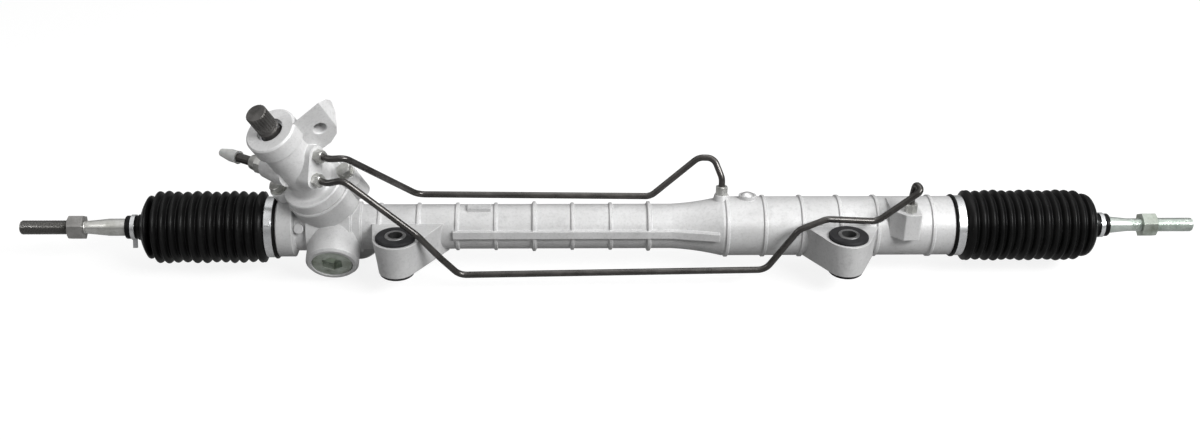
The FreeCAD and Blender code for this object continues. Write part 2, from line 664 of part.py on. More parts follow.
def bore_cuts():
    """Everything machined out of the rack housing."""
    bores = turned([(0, GEAR_END_X - 1), (SOCKET_BORE, GEAR_END_X - 1), (SOCKET_BORE, LEFT_STOP_X),
                    (TUBE_BORE, LEFT_STOP_X), (TUBE_BORE, CHAMBER_START_X),
                    (CYLINDER_BORE, CHAMBER_START_X), (CYLINDER_BORE, CYLINDER_END_X + 1),
                    (0, CYLINDER_END_X + 1)])
    pinion = turned([(0, -LOWER_BOSS_LENGTH - 1), (LOWER_BEARING_RADIUS + SEAT_FIT, -LOWER_BOSS_LENGTH - 1),
                     (LOWER_BEARING_RADIUS + SEAT_FIT, -LOWER_BEARING_START + SEAT_FIT),
                     (PINION_CHAMBER_RADIUS, -LOWER_BEARING_START + SEAT_FIT),
                     (PINION_CHAMBER_RADIUS, UPPER_BEARING_START - SEAT_FIT),
                     (UPPER_BEARING_RADIUS + SEAT_FIT, UPPER_BEARING_START - SEAT_FIT),
                     (UPPER_BEARING_RADIUS + SEAT_FIT, FLANGE_HEIGHT + 1), (0, FLANGE_HEIGHT + 1)])
    yoke = turned([(0, 0), (YOKE_RADIUS + SEAT_FIT, 0), (YOKE_RADIUS + SEAT_FIT, plug_inner_face()),
                   (YOKE_PLUG_RADIUS + SEAT_FIT, plug_inner_face()),
                   (YOKE_PLUG_RADIUS + SEAT_FIT, YOKE_BOSS_LENGTH + 1), (0, YOKE_BOSS_LENGTH + 1)])
    bolts = [rod(EAR_BOLT_RADIUS + SEAT_FIT, FLANGE_HEIGHT - EAR_BOSS_DEPTH - 1, FLANGE_HEIGHT + 1, side * EAR_OFFSET)
             for side in (-1, 1)]
    flange_top = FLANGE_HEIGHT + FLANGE_THICKNESS
    facing = flange_ears(FLANGE_HEIGHT, flange_top, WORKING_GAP)
    facing = facing.fuse(rod(FLANGE_RADIUS + WORKING_GAP, FLANGE_HEIGHT, flange_top))
    cuts = [on_rack(bores), placed(yoke, YOKE_PLACE)]
    cuts += [placed(cut, TOWER) for cut in [pinion, facing] + bolts]
    for side in (-1, 1):
        cuts.append(placed(rod(RUBBER_RADIUS, -1, BUSH_LENGTH), bush_place(side)))
    cuts += [placed(rod(NUT_THREAD_RADIUS + SEAT_FIT, port_floor(), CYLINDER_RADIUS + NUT_LENGTH),
                    upper_cylinder_port_place()),
             placed(rod(PORT_DRILL, CYLINDER_BORE - 2, port_floor()), upper_cylinder_port_place()),
             placed(rod(NUT_THREAD_RADIUS + SEAT_FIT, -NUT_THREAD_LENGTH - WORKING_GAP, 1),
                    lower_cylinder_port_place())]
    across = Part.makeCylinder(PORT_DRILL, RACK_Y - LOWER_CYLINDER_PORT_Y,
                               Vector(LOWER_CYLINDER_PORT_X, LOWER_CYLINDER_PORT_Y,
                                      PORT_BLOCK_TOP_Z - NUT_THREAD_LENGTH), Vector(0, 1, 0))
    cuts.append(across)
    plug_floor = CYLINDER_RADIUS + CORE_BOSS_PROUD - CORE_PLUG_DOME
    cuts.append(placed(rod(CORE_PLUG_RADIUS + SEAT_FIT, plug_floor, CYLINDER_RADIUS + 2 * CORE_BOSS_PROUD),
                       core_plug_place()))
    return cuts


def port_floor():
    return CYLINDER_RADIUS + CYLINDER_PORT_BOSS_PROUD - NUT_THREAD_LENGTH - WORKING_GAP


def plug_inner_face():
    return YOKE_BOSS_LENGTH - YOKE_PLUG_RECESS - YOKE_PLUG_LENGTH


def rack_housing():
    body = on_rack(turned(ribbed_outline()))
    top_pad = block((PAD_X - PAD_LENGTH / 2, RACK_Y - PAD_WIDTH, RACK_Z),
                    (PAD_X + PAD_LENGTH / 2, RACK_Y, RACK_Z + TUBE_RADIUS + PAD_PROUD))
    neck_x = GEAR_END_X + SPIGOT_LENGTH + COLLAR_LENGTH + NECK_LENGTH / 2
    neck_boss = Part.makeCylinder(NECK_BOSS_RADIUS, NECK_RADIUS + NECK_BOSS_PROUD,
                                  Vector(neck_x, RACK_Y, RACK_Z), Vector(0, -1, 0.42))
    added = gear_casting() + cylinder_bosses() + [parting_rail(), top_pad, neck_boss]
    added += [ear(-1, LEFT_EAR_WEBS, LEFT_FOOT_WEBS), ear(1, RIGHT_EAR_WEBS, RIGHT_FOOT_WEBS)]
    casting = body.multiFuse(added)
    return casting.cut(Part.makeCompound(bore_cuts())).removeSplitter()


def valve_housing():
    """The tower over the pinion: flange, round body, pipe ports, pressure lug and return boss."""
    base = FLANGE_HEIGHT + FLANGE_GAP
    top = base + FLANGE_THICKNESS
    head = TOWER_TOP - TOWER_HEAD_LENGTH
    tower = turned([(0, base - SPIGOT_DEPTH), (UPPER_BEARING_RADIUS, base - SPIGOT_DEPTH),
                    (UPPER_BEARING_RADIUS, base), (FLANGE_RADIUS, base), (FLANGE_RADIUS, top - CAST_EDGE),
                    (FLANGE_RADIUS - CAST_EDGE, top), (TOWER_RADIUS + 4 * CAST_EDGE, top),
                    (TOWER_RADIUS, top + 4 * CAST_EDGE, TOWER_RADIUS + CAST_EDGE, top + CAST_EDGE),
                    (TOWER_RADIUS, head), (TOWER_HEAD_RADIUS, head + TOWER_HEAD_RADIUS - TOWER_RADIUS),
                    (TOWER_HEAD_RADIUS, TOWER_TOP - TOWER_EDGE), (TOWER_HEAD_RADIUS - TOWER_EDGE, TOWER_TOP),
                    (0, TOWER_TOP)])
    solids = [placed(tower, TOWER), placed(flange_ears(base, top), TOWER)]
    solids += [pipe_port_boss(), pressure_lug()]
    solids.append(placed(turned([(0, 0), (RETURN_BOSS_ROOT_RADIUS, 0), (RETURN_BOSS_ROOT_RADIUS, RETURN_BOSS_ROOT_RADIUS),
                                 (RETURN_BOSS_TIP_RADIUS, RETURN_BOSS_END), (0, RETURN_BOSS_END)]), RETURN_PLACE))
    body = solids[0].multiFuse(solids[1:])
    bore = turned([(0, base - SPIGOT_DEPTH - 1), (VALVE_BORE, base - SPIGOT_DEPTH - 1), (VALVE_BORE, VALVE_BORE_END),
                   (INPUT_SEAL_RADIUS + SEAT_FIT, VALVE_BORE_END), (INPUT_SEAL_RADIUS + SEAT_FIT, TOWER_TOP + 1),
                   (0, TOWER_TOP + 1)])
    groove = ring(UPPER_BEARING_RADIUS + 1, UPPER_BEARING_RADIUS - 2,
                  base - SPIGOT_DEPTH + 2.5, base - SPIGOT_DEPTH + 5.5)
    cuts = [placed(bore, TOWER), placed(groove, TOWER)]
    bolt_hole = EAR_BOLT_RADIUS + SEAT_FIT
    cuts += [placed(rod(bolt_hole, base - 1, top + 1, side * EAR_OFFSET), TOWER) for side in (-1, 1)]
    for height, offset in (UPPER_PORT, LOWER_PORT):
        place = port_place(height, offset)
        cuts.append(placed(rod(NUT_THREAD_RADIUS + SEAT_FIT, PORT_FACE - NUT_THREAD_LENGTH - WORKING_GAP,
                               PORT_FACE + 1), place))
        cuts.append(placed(rod(PORT_DRILL, 0, PORT_FACE), place))
    mouth = PRESSURE_PORT_MOUTH_RADIUS - PRESSURE_PORT_RADIUS
    port = turned([(0, -PRESSURE_PORT_DEPTH), (PRESSURE_PORT_RADIUS, -PRESSURE_PORT_DEPTH),
                   (PRESSURE_PORT_RADIUS, -mouth), (PRESSURE_PORT_MOUTH_RADIUS + 1, 1), (0, 1)])
    port.translate(Vector(PRESSURE_PORT_OUT, PRESSURE_PORT_HEIGHT, LUG_FRONT))
    cuts.append(placed(port, LUG_PLACE))
    thread_floor = RETURN_BOSS_END - UNION_LENGTH + UNION_HEX_LENGTH - WORKING_GAP
    cuts.append(placed(rod(UNION_THREAD_RADIUS + SEAT_FIT, thread_floor, RETURN_BOSS_END + 1), RETURN_PLACE))
    cuts.append(placed(rod(PORT_DRILL, 0, RETURN_BOSS_END), RETURN_PLACE))
    return body.cut(Part.makeCompound(cuts)).removeSplitter()


def pipe_port_boss():
    """One boss that carries both staggered pipe ports."""
    places = (UPPER_PORT, LOWER_PORT)
    solids = [placed(rod(PORT_BOSS_RADIUS, 0, PORT_FACE), port_place(*place)) for place in places]
    (high, high_offset), (low, low_offset) = places
    run = Vector(high_offset - low_offset, high - low, 0)
    side = Vector(-run.y, run.x, 0)
    side.normalize()
    side = side * PORT_BOSS_RADIUS
    corners = [side, run + side, run - side, side * -1, side]
    bridge = Part.Face(Part.makePolygon(corners)).extrude(Vector(0, 0, PORT_FACE))
    return solids[0].multiFuse([solids[1], placed(bridge, port_place(low, low_offset))])


def pressure_lug():
    """Lug beside the tower's head: its end bevelled at the front, its top sloping away to the back."""
    low_top, high_top = LUG_TOP
    outline = [(0, LUG_LOW)] + list(LUG_CORNERS) + [(LUG_REACH, high_top), (0, low_top)]
    corners = [Vector(x, y, LUG_BACK) for x, y in outline + outline[:1]]
    lug = Part.Face(Part.makePolygon(corners)).extrude(Vector(0, 0, LUG_FRONT - LUG_BACK))
    bevel = [Vector(LUG_REACH - LUG_BEVEL, -1, LUG_FRONT), Vector(LUG_REACH + 1, -1, LUG_FRONT),
             Vector(LUG_REACH + 1, -1, LUG_FRONT - LUG_BEVEL - 1), Vector(LUG_REACH - LUG_BEVEL, -1, LUG_FRONT)]
    bevel = Part.Face(Part.makePolygon(bevel)).extrude(Vector(0, 2 * high_top, 0))
    drop = (LUG_FRONT - LUG_BACK) * math.tan(math.radians(LUG_BACK_SLOPE))
    rise = high_top - low_top
    slope = [Vector(0, low_top, LUG_FRONT), Vector(0, low_top - drop, LUG_BACK), Vector(0, low_top, LUG_BACK),
             Vector(0, low_top, LUG_FRONT)]
    slope = Part.Face(Part.makePolygon(slope)).extrude(Vector(LUG_REACH, rise, 0))
    return placed(lug.cut(Part.makeCompound([bevel, slope])), LUG_PLACE)


def valve_housing_bolts():
    top = FLANGE_HEIGHT + FLANGE_GAP + FLANGE_THICKNESS
    bolts = []
    for side in (-1, 1):
        head = bevelled_hexagon(BOLT_HEX, BOLT_WASHER, BOLT_WASHER + BOLT_HEAD)
        bolt = head.fuse(rod(BOLT_WASHER_RADIUS, 0, BOLT_WASHER))
        bolt = bolt.fuse(rod(EAR_BOLT_RADIUS, -FLANGE_THICKNESS - EAR_BOSS_DEPTH, 0))
        bolt.translate(Vector(side * EAR_OFFSET, 0, top))
        bolts.append(placed(bolt, TOWER))
    return Part.makeCompound(bolts)


def valve_housing_seal():
    low = FLANGE_HEIGHT + FLANGE_GAP - SPIGOT_DEPTH + 2.5
    return placed(ring(UPPER_BEARING_RADIUS, UPPER_BEARING_RADIUS - 1.95, low + 0.2, low + 2.8), TOWER)


def tooth_flank(radius):
    """Half the angle that a pinion tooth spans at a radius, square to the pinion's axis."""
    transverse = math.atan(math.tan(math.radians(PRESSURE_ANGLE)) / math.cos(SKEW_RAD))
    base = PITCH_RADIUS * math.cos(transverse)
    thickness = (math.pi / 2 + 2 * PINION_SHIFT * math.tan(math.radians(PRESSURE_ANGLE))) * MODULE
    half_at_pitch = thickness / math.cos(SKEW_RAD) / (2 * PITCH_RADIUS)
    there = math.acos(min(1.0, base / radius))
    return half_at_pitch + involute(transverse) - involute(there)


def involute(angle):
    return math.tan(angle) - angle


def pinion_section():
    """Outline of the pinion teeth square to its axis, with a tooth centred towards the rack."""
    transverse = math.atan(math.tan(math.radians(PRESSURE_ANGLE)) / math.cos(SKEW_RAD))
    base = PITCH_RADIUS * math.cos(transverse)
    root = CENTRE_DISTANCE - RACK_REFERENCE - MODULE - WORKING_GAP
    steps = 5
    radii = [base + (PINION_TIP_RADIUS - base) * i / (steps - 1) for i in range(steps)]
    edges = []
    toothwise = 2 * math.pi / PINION_TEETH
    for tooth in range(PINION_TEETH):
        centre = -math.pi / 2 + tooth * toothwise
        rising = [polar(r, centre - tooth_flank(r)) for r in radii]
        falling = [polar(r, centre + tooth_flank(r)) for r in reversed(radii)]
        next_start = centre + toothwise - tooth_flank(base)
        edges.append(Part.makeLine(polar(root, centre - tooth_flank(base)), rising[0]))
        edges.append(through(rising))
        edges.append(Part.Arc(rising[-1], polar(PINION_TIP_RADIUS, centre), falling[0]).toShape())
        edges.append(through(falling))
        edges.append(Part.makeLine(falling[-1], polar(root, centre + tooth_flank(base))))
        gap_middle = centre + toothwise / 2
        edges.append(Part.Arc(polar(root, centre + tooth_flank(base)), polar(root, gap_middle),
                              polar(root, next_start)).toShape())
    return Part.Wire(edges)


def polar(radius, angle):
    return Vector(radius * math.cos(angle), radius * math.sin(angle), 0)


def through(points):
    curve = Part.BSplineCurve()
    curve.interpolate(points)
    return curve.toShape()


def helical_teeth():
    """The pinion's teeth: sections set one above another with a right-hand twist, joined by a loft."""
    lead = 2 * math.pi * PITCH_RADIUS / math.tan(SKEW_RAD)
    sections = []
    for step in range(TWIST_SECTIONS):
        height = PINION_HALF_FACE * (2 * step / (TWIST_SECTIONS - 1) - 1)
        section = pinion_section()
        section.rotate(Vector(0, 0, 0), Vector(0, 0, 1), 360 * height / lead)
        section.translate(Vector(0, 0, height))
        sections.append(section)
    return Part.makeLoft(sections, True, False)


def pinion():
    """Helical pinion with its journals, and the cup that takes the input shaft's tang."""
    nut_end = LOWER_BEARING_START + LOWER_BEARING_WIDTH + LOWER_NUT_LENGTH
    below = turned([(0, -nut_end - 1), (LOWER_JOURNAL_RADIUS - 1, -nut_end - 1), (LOWER_JOURNAL_RADIUS, -nut_end),
                    (LOWER_JOURNAL_RADIUS, -LOWER_BEARING_START), (LOWER_JOURNAL_RADIUS + 2, -LOWER_BEARING_START),
                    (LOWER_JOURNAL_RADIUS + 2, -PINION_HALF_FACE), (0, -PINION_HALF_FACE)])
    above = turned([(0, PINION_HALF_FACE), (UPPER_JOURNAL_RADIUS, PINION_HALF_FACE),
                    (UPPER_JOURNAL_RADIUS, CUP_START), (CUP_RADIUS, CUP_START + 1),
                    (CUP_RADIUS, CUP_END), (0, CUP_END)])
    shaft = helical_teeth().multiFuse([below, above])
    bar_bore = rod(BAR_END_RADIUS + SEAT_FIT, BAR_START - WORKING_GAP, CUP_END)
    cup = rod(TANG_RADIUS + TANG_SLACK, CUP_START + 4, CUP_END + 1)
    half = TANG_HALF_WIDTH + TANG_SLACK
    cup = cup.common(block((-TANG_RADIUS * 2, -half, CUP_START), (TANG_RADIUS * 2, half, CUP_END + 1)))
    pin_hole = Part.makeCylinder(PIN_RADIUS + SEAT_FIT, 4 * CUP_RADIUS, Vector(-2 * CUP_RADIUS, 0, pin_height(0)),
                                 Vector(1, 0, 0))
    drive_hole = Part.makeCylinder(PIN_RADIUS + SEAT_FIT, 2 * CUP_RADIUS, Vector(0, TANG_RADIUS + 2, drive_pin_height()),
                                   Vector(0, 1, 0))
    return placed(shaft.cut(Part.makeCompound([bar_bore, cup, pin_hole, drive_hole])), TOWER)


def pin_height(end):
    """Height of the pin through the lower (0) or the upper (1) end of the torsion bar."""
    return (CUP_START - 6, INPUT_SHAFT_END - SPLINE_LENGTH - 6)[end]


def drive_pin_height():
    return CUP_END - 4


def torsion_bar():
    end = INPUT_SHAFT_END - SPLINE_LENGTH
    bar = turned([(0, BAR_START), (BAR_END_RADIUS, BAR_START), (BAR_END_RADIUS, CUP_START),
                  (BAR_RADIUS, CUP_START + 4), (BAR_RADIUS, end - 16), (BAR_END_RADIUS, end - 12),
                  (BAR_END_RADIUS, end), (0, end)])
    holes = [Part.makeCylinder(PIN_RADIUS + SEAT_FIT, 4 * BAR_END_RADIUS, Vector(-2 * BAR_END_RADIUS, 0, pin_height(i)),
                               Vector(1, 0, 0)) for i in (0, 1)]
    return placed(bar.cut(Part.makeCompound(holes)), TOWER)


def cross_pin(height, half_length):
    pin = Part.makeCylinder(PIN_RADIUS, 2 * half_length, Vector(-half_length, 0, height), Vector(1, 0, 0))
    return placed(pin, TOWER)


def drive_pin():
    start = TANG_RADIUS + 2.5
    pin = Part.makeCylinder(PIN_RADIUS, VALVE_SLEEVE_RADIUS - start - 1, Vector(0, start, drive_pin_height()),
                            Vector(0, 1, 0))
    return placed(pin, TOWER)


def valve_sleeve():
    """Outer spool of the rotary valve, grooved for its seal rings and pinned to the pinion's cup."""
    skirt_start = CUP_END - 10
    sleeve = turned([(CUP_RADIUS + SEAT_FIT, skirt_start), (VALVE_SLEEVE_RADIUS, skirt_start),
                     (VALVE_SLEEVE_RADIUS, SLEEVE_END), (SHAFT_RADIUS + RUNNING_FIT, SLEEVE_END),
                     (SHAFT_RADIUS + RUNNING_FIT, SLEEVE_START), (CUP_RADIUS + SEAT_FIT, SLEEVE_START)])
    cuts = [ring(VALVE_SLEEVE_RADIUS + 1, VALVE_SLEEVE_RADIUS - SEAL_RING_DEPTH, low, low + SEAL_RING_WIDTH)
            for low in seal_ring_heights()]
    lows = seal_ring_heights()
    for below, above in zip(lows, lows[1:]):
        middle = (below + above + SEAL_RING_WIDTH) / 2
        for turn in (0, 90):
            hole = Part.makeCylinder(1.5, 4 * VALVE_SLEEVE_RADIUS, Vector(-2 * VALVE_SLEEVE_RADIUS, 0, middle),
                                     Vector(1, 0, 0))
            hole.rotate(Vector(0, 0, 0), Vector(0, 0, 1), turn + 45)
            cuts.append(hole)
    cuts.append(Part.makeCylinder(PIN_RADIUS + SEAT_FIT, 2 * VALVE_SLEEVE_RADIUS, Vector(0, TANG_RADIUS, drive_pin_height()),
                                  Vector(0, 1, 0)))
    return placed(sleeve.cut(Part.makeCompound(cuts)), TOWER)


def seal_ring_heights():
    first = SLEEVE_START + 1
    pitch = (SLEEVE_END - 3 - SEAL_RING_WIDTH - first) / (SEAL_RING_COUNT - 1)
    return [first + pitch * i for i in range(SEAL_RING_COUNT)]


def sleeve_seal_rings():
    rings = [placed(ring(VALVE_BORE - RUNNING_FIT, VALVE_SLEEVE_RADIUS - SEAL_RING_DEPTH + SEAT_FIT,
                         low + SEAT_FIT, low + SEAL_RING_WIDTH - SEAT_FIT), TOWER)
             for low in seal_ring_heights()]
    return Part.makeCompound(rings)


def input_shaft():
    """Input shaft: tang, valve spool with its slots, journal, neck and splined end."""
    spline_start = INPUT_SHAFT_END - SPLINE_LENGTH
    tang_start = CUP_START + 4 + WORKING_GAP
    shaft = turned([(0, CUP_END + WORKING_GAP), (SHAFT_RADIUS, CUP_END + WORKING_GAP), (SHAFT_RADIUS, SLEEVE_END),
                    (INPUT_JOURNAL_RADIUS, SLEEVE_END + 1), (INPUT_JOURNAL_RADIUS, bearing_end()),
                    (INPUT_NECK_RADIUS, bearing_end() + 1), (INPUT_NECK_RADIUS, spline_start - 5),
                    (INPUT_NECK_RADIUS - 1.2, spline_start - 4), (INPUT_NECK_RADIUS - 1.2, spline_start - 1),
                    (INPUT_NECK_RADIUS, spline_start), (INPUT_NECK_RADIUS, INPUT_SHAFT_END - 1),
                    (INPUT_NECK_RADIUS - 1, INPUT_SHAFT_END), (0, INPUT_SHAFT_END)])
    tang = rod(TANG_RADIUS, tang_start, CUP_END + WORKING_GAP)
    tang = tang.common(block((-TANG_RADIUS * 2, -TANG_HALF_WIDTH, tang_start),
                             (TANG_RADIUS * 2, TANG_HALF_WIDTH, CUP_END + 1)))
    cuts = [rod(BAR_END_RADIUS + BAR_CLEARANCE, tang_start - 1, spline_start + WORKING_GAP)]
    cuts.append(Part.makeCylinder(PIN_RADIUS + SEAT_FIT, 4 * INPUT_NECK_RADIUS,
                                  Vector(-2 * INPUT_NECK_RADIUS, 0, pin_height(1)), Vector(1, 0, 0)))
    for index in range(SPLINE_COUNT):
        groove = Part.makeCylinder(SPLINE_DEPTH, SPLINE_LENGTH + 1, Vector(INPUT_NECK_RADIUS, 0, spline_start))
        groove.rotate(Vector(0, 0, 0), Vector(0, 0, 1), 360.0 / SPLINE_COUNT * index)
        cuts.append(groove)
    for index in range(6):
        slot = Part.makeCylinder(2.0, SLEEVE_END - SLEEVE_START - 12, Vector(SHAFT_RADIUS + 1, 0, SLEEVE_START + 6))
        slot.rotate(Vector(0, 0, 0), Vector(0, 0, 1), 60 * index + 30)
        cuts.append(slot)
    return placed(shaft.fuse(tang).cut(Part.makeCompound(cuts)), TOWER)


def bearing_end():
    return VALVE_BORE_END + INPUT_BEARING_WIDTH


def input_bearing():
    return placed(ring(INPUT_SEAL_RADIUS, INPUT_JOURNAL_RADIUS + RUNNING_FIT, VALVE_BORE_END + SEAT_FIT, bearing_end()),
                  TOWER)


def input_shaft_seal():
    """Lip seal round the neck of the input shaft, dished on its outer face."""
    top = TOWER_TOP - INPUT_SEAL_DEPTH
    low = top - INPUT_SEAL_WIDTH
    inner = INPUT_NECK_RADIUS + RUNNING_FIT
    return placed(turned([(inner + 1, low), (INPUT_SEAL_RADIUS, low), (INPUT_SEAL_RADIUS, top),
                          (INPUT_SEAL_RADIUS - 1, top), (inner + 0.8, top - 2), (inner, top - 1),
                          (inner, top - 3)]), TOWER)


def input_snap_ring():
    low = TOWER_TOP - INPUT_SEAL_DEPTH + SEAT_FIT
    hoop = ring(INPUT_SEAL_RADIUS, INPUT_SEAL_RADIUS - 1.8, low, low + SNAP_RING)
    gap = block((0, -2.5, low - 1), (2 * INPUT_SEAL_RADIUS, 2.5, low + 3))
    return placed(hoop.cut(gap), TOWER)


def pinion_upper_bearing():
    low = UPPER_BEARING_START
    return placed(ring(UPPER_BEARING_RADIUS, UPPER_JOURNAL_RADIUS + RUNNING_FIT, low, low + UPPER_BEARING_WIDTH), TOWER)


def pinion_seal():
    low = UPPER_BEARING_START + UPPER_BEARING_WIDTH + SEAT_FIT
    high = low + PINION_SEAL_WIDTH
    inner = UPPER_JOURNAL_RADIUS + RUNNING_FIT
    return placed(turned([(inner, low + 1), (inner + 2, low), (UPPER_BEARING_RADIUS, low), (UPPER_BEARING_RADIUS, high),
                          (inner + 2.5, high), (inner, low + 2.5)]), TOWER)


def pinion_lower_bearing():
    low = -LOWER_BEARING_START - LOWER_BEARING_WIDTH
    high = -LOWER_BEARING_START
    return placed(ring(LOWER_BEARING_RADIUS, LOWER_RACE_RADIUS + RUNNING_FIT, low, high), TOWER)


def pinion_inner_race():
    low = -LOWER_BEARING_START - LOWER_BEARING_WIDTH
    high = -LOWER_BEARING_START - SEAT_FIT
    return placed(ring(LOWER_RACE_RADIUS, LOWER_JOURNAL_RADIUS + SEAT_FIT, low, high), TOWER)


def pinion_lower_nut():
    high = -LOWER_BEARING_START - LOWER_BEARING_WIDTH - SEAT_FIT
    low = high - LOWER_NUT_LENGTH + 1
    nut = hexagon(LOWER_NUT_WIDTH - 2, low, high).cut(rod(LOWER_JOURNAL_RADIUS + SEAT_FIT, low - 1, high + 1))
    return placed(nut, TOWER)


def pinion_end_cap():
    """Screwed cap that closes the lower end of the pinion case."""
    low = -LOWER_BOSS_LENGTH
    cap = rod(LOWER_BEARING_RADIUS, low, low + END_CAP_LENGTH)
    cap = cap.fuse(rod(LOWER_BEARING_RADIUS + 3, low - 2.5, low - SEAT_FIT))
    cap = cap.fuse(rod(LOWER_BEARING_RADIUS - 1, low - 2.5, low))
    head = hexagon(END_CAP_HEX, low - 7.5, low - 2.5)
    return placed(cap.fuse(head), TOWER)


def yoke():
    """Sprung yoke, saddled to the back of the rack bar and pocketed for its spring."""
    body = rod(YOKE_RADIUS, YOKE_FRONT, YOKE_BACK)
    saddle = Part.makeCylinder(RACK_RADIUS + RUNNING_FIT + LINER_THICKNESS + SEAT_FIT, 4 * YOKE_RADIUS,
                               Vector(-2 * YOKE_RADIUS, 0, 0), Vector(1, 0, 0))
    pocket = rod(SPRING_POCKET_RADIUS, YOKE_BACK - SPRING_POCKET_DEPTH, YOKE_BACK + 1)
    groove = ring(YOKE_RADIUS + 1, YOKE_RADIUS - 1.8, YOKE_BACK - 6, YOKE_BACK - 3)
    return placed(body.cut(Part.makeCompound([saddle, pocket, groove])), YOKE_PLACE)


def yoke_seal():
    return placed(ring(YOKE_RADIUS, YOKE_RADIUS - 1.7, YOKE_BACK - 5.9, YOKE_BACK - 3.1), YOKE_PLACE)


def yoke_liner():
    """Plastic half shell that the rack bar slides on."""
    inner = RACK_RADIUS + RUNNING_FIT
    tube = Part.makeCylinder(inner + LINER_THICKNESS, 2 * YOKE_RADIUS - 4, Vector(2 - YOKE_RADIUS, 0, 0), Vector(1, 0, 0))
    hole = Part.makeCylinder(inner, 2 * YOKE_RADIUS, Vector(-YOKE_RADIUS, 0, 0), Vector(1, 0, 0))
    shell = tube.cut(hole).common(rod(YOKE_RADIUS - 1, YOKE_FRONT, YOKE_BACK))
    return placed(shell, YOKE_PLACE)


def yoke_adjuster_plug():
    low = plug_inner_face() + SEAT_FIT
    high = YOKE_BOSS_LENGTH - YOKE_PLUG_RECESS
    plug = turned([(0, low), (YOKE_PLUG_RADIUS, low), (YOKE_PLUG_RADIUS, high - 1), (YOKE_PLUG_RADIUS - 1, high),
                   (0, high)])
    socket = hexagon(YOKE_PLUG_HEX, high - YOKE_PLUG_HEX_DEPTH, high + 1)
    pocket = rod(SPRING_POCKET_RADIUS, low - 1, low + 3)
    return placed(plug.cut(socket).cut(pocket), YOKE_PLACE)


def yoke_spring():
    low = YOKE_BACK - SPRING_POCKET_DEPTH + SPRING_WIRE + SEAT_FIT
    high = plug_inner_face() + SEAT_FIT + 3 - SPRING_WIRE - SEAT_FIT
    path = Part.makeHelix((high - low) / SPRING_TURNS, high - low, SPRING_RADIUS)
    section = Part.Wire(Part.makeCircle(SPRING_WIRE, Vector(SPRING_RADIUS, 0, 0), Vector(0, 1, 0)))
    coil = Part.Wire(path.Edges).makePipeShell([section], True, True)
    coil.translate(Vector(0, 0, low))
    return placed(coil, YOKE_PLACE)


def rack_bar():
    """Round bar with a toothed flat over the pinion and a tapped hole in each end."""
    bar = turned([(0, RACK_START_X), (RACK_RADIUS - RACK_CHAMFER, RACK_START_X),
                  (RACK_RADIUS, RACK_START_X + RACK_CHAMFER), (RACK_RADIUS, RACK_END_X - RACK_CHAMFER),
                  (RACK_RADIUS - RACK_CHAMFER, RACK_END_X), (0, RACK_END_X)])
    bar = on_rack(bar)
    half = RACK_TRAVEL + TOOTH_MARGIN
    count = int(half / RACK_PITCH)
    rise = math.tan(math.radians(PRESSURE_ANGLE))
    tip = RACK_REFERENCE + MODULE
    root = RACK_REFERENCE - DEDENDUM * MODULE
    half_space = RACK_PITCH / 4 + BACKLASH / 2
    at_root = half_space - (RACK_REFERENCE - root) * rise
    at_tip = half_space + (tip - RACK_REFERENCE) * rise
    above = RACK_RADIUS + 2
    points = [(-count * RACK_PITCH - RACK_PITCH / 2, above), (-count * RACK_PITCH - RACK_PITCH / 2, tip)]
    for index in range(-count, count + 1):
        middle = index * RACK_PITCH
        points += [(middle - at_tip, tip), (middle - at_root, root), (middle + at_root, root), (middle + at_tip, tip)]
    points += [(count * RACK_PITCH + RACK_PITCH / 2, tip), (count * RACK_PITCH + RACK_PITCH / 2, above)]
    across = TO_PINION.cross(ALONG_RACK) * -1
    corners = [RACK_POINT + ALONG_RACK * x + TO_PINION * n - across * (2 * RACK_RADIUS) for x, n in points]
    comb = Part.Face(Part.makePolygon(corners + corners[:1])).extrude(across * (4 * RACK_RADIUS))
    hole = rod(STUD_RADIUS + SEAT_FIT, -1, STUD_LENGTH + 2)
    grooves = [ring(RACK_RADIUS + 1, RACK_RADIUS - PISTON_CLIP / 2, PISTON_X + low, PISTON_X + low + PISTON_CLIP)
               for low in (-PISTON_WIDTH / 2 - PISTON_CLIP, PISTON_WIDTH / 2)]
    cuts = [comb, on_rack(hole, RACK_START_X), on_rack_reversed(hole, RACK_END_X)]
    cuts += [on_rack(groove) for groove in grooves]
    return bar.cut(Part.makeCompound(cuts))


def piston():
    outer = CYLINDER_BORE - PISTON_CLEARANCE
    half = PISTON_WIDTH / 2 - SEAT_FIT
    body = ring(outer, RACK_RADIUS + SEAT_FIT, -half, half)
    groove = ring(outer + 1, outer - PISTON_RING_DEPTH, -PISTON_RING_WIDTH / 2, PISTON_RING_WIDTH / 2)
    return on_rack(body.cut(groove), PISTON_X)


def piston_ring():
    half = PISTON_RING_WIDTH / 2 - SEAT_FIT
    return on_rack(ring(CYLINDER_BORE - RUNNING_FIT, CYLINDER_BORE - PISTON_CLEARANCE - PISTON_RING_DEPTH + SEAT_FIT,
                        -half, half), PISTON_X)


def piston_clips():
    clips = []
    for side in (-1, 1):
        centre = side * (PISTON_WIDTH + PISTON_CLIP) / 2
        half = PISTON_CLIP / 2 - SEAT_FIT
        hoop = ring(PISTON_CLIP_RADIUS, RACK_RADIUS - PISTON_CLIP / 2 + SEAT_FIT, centre - half, centre + half)
        clips.append(on_rack(hoop.cut(block((0, -2, centre - 3), (2 * RACK_RADIUS, 2, centre + 3))), PISTON_X))
    return Part.makeCompound(clips)


def cylinder_inner_seal():
    low = CHAMBER_START_X + SEAT_FIT
    high = CHAMBER_START_X + INNER_SEAL_WIDTH
    inner = RACK_RADIUS + RUNNING_FIT
    return on_rack(turned([(inner + 1, low), (CYLINDER_BORE - SEAT_FIT, low), (CYLINDER_BORE - SEAT_FIT, high),
                           (inner + 3, high), (inner + 3, high - 3), (inner, high - 2), (inner, low + 1)]))


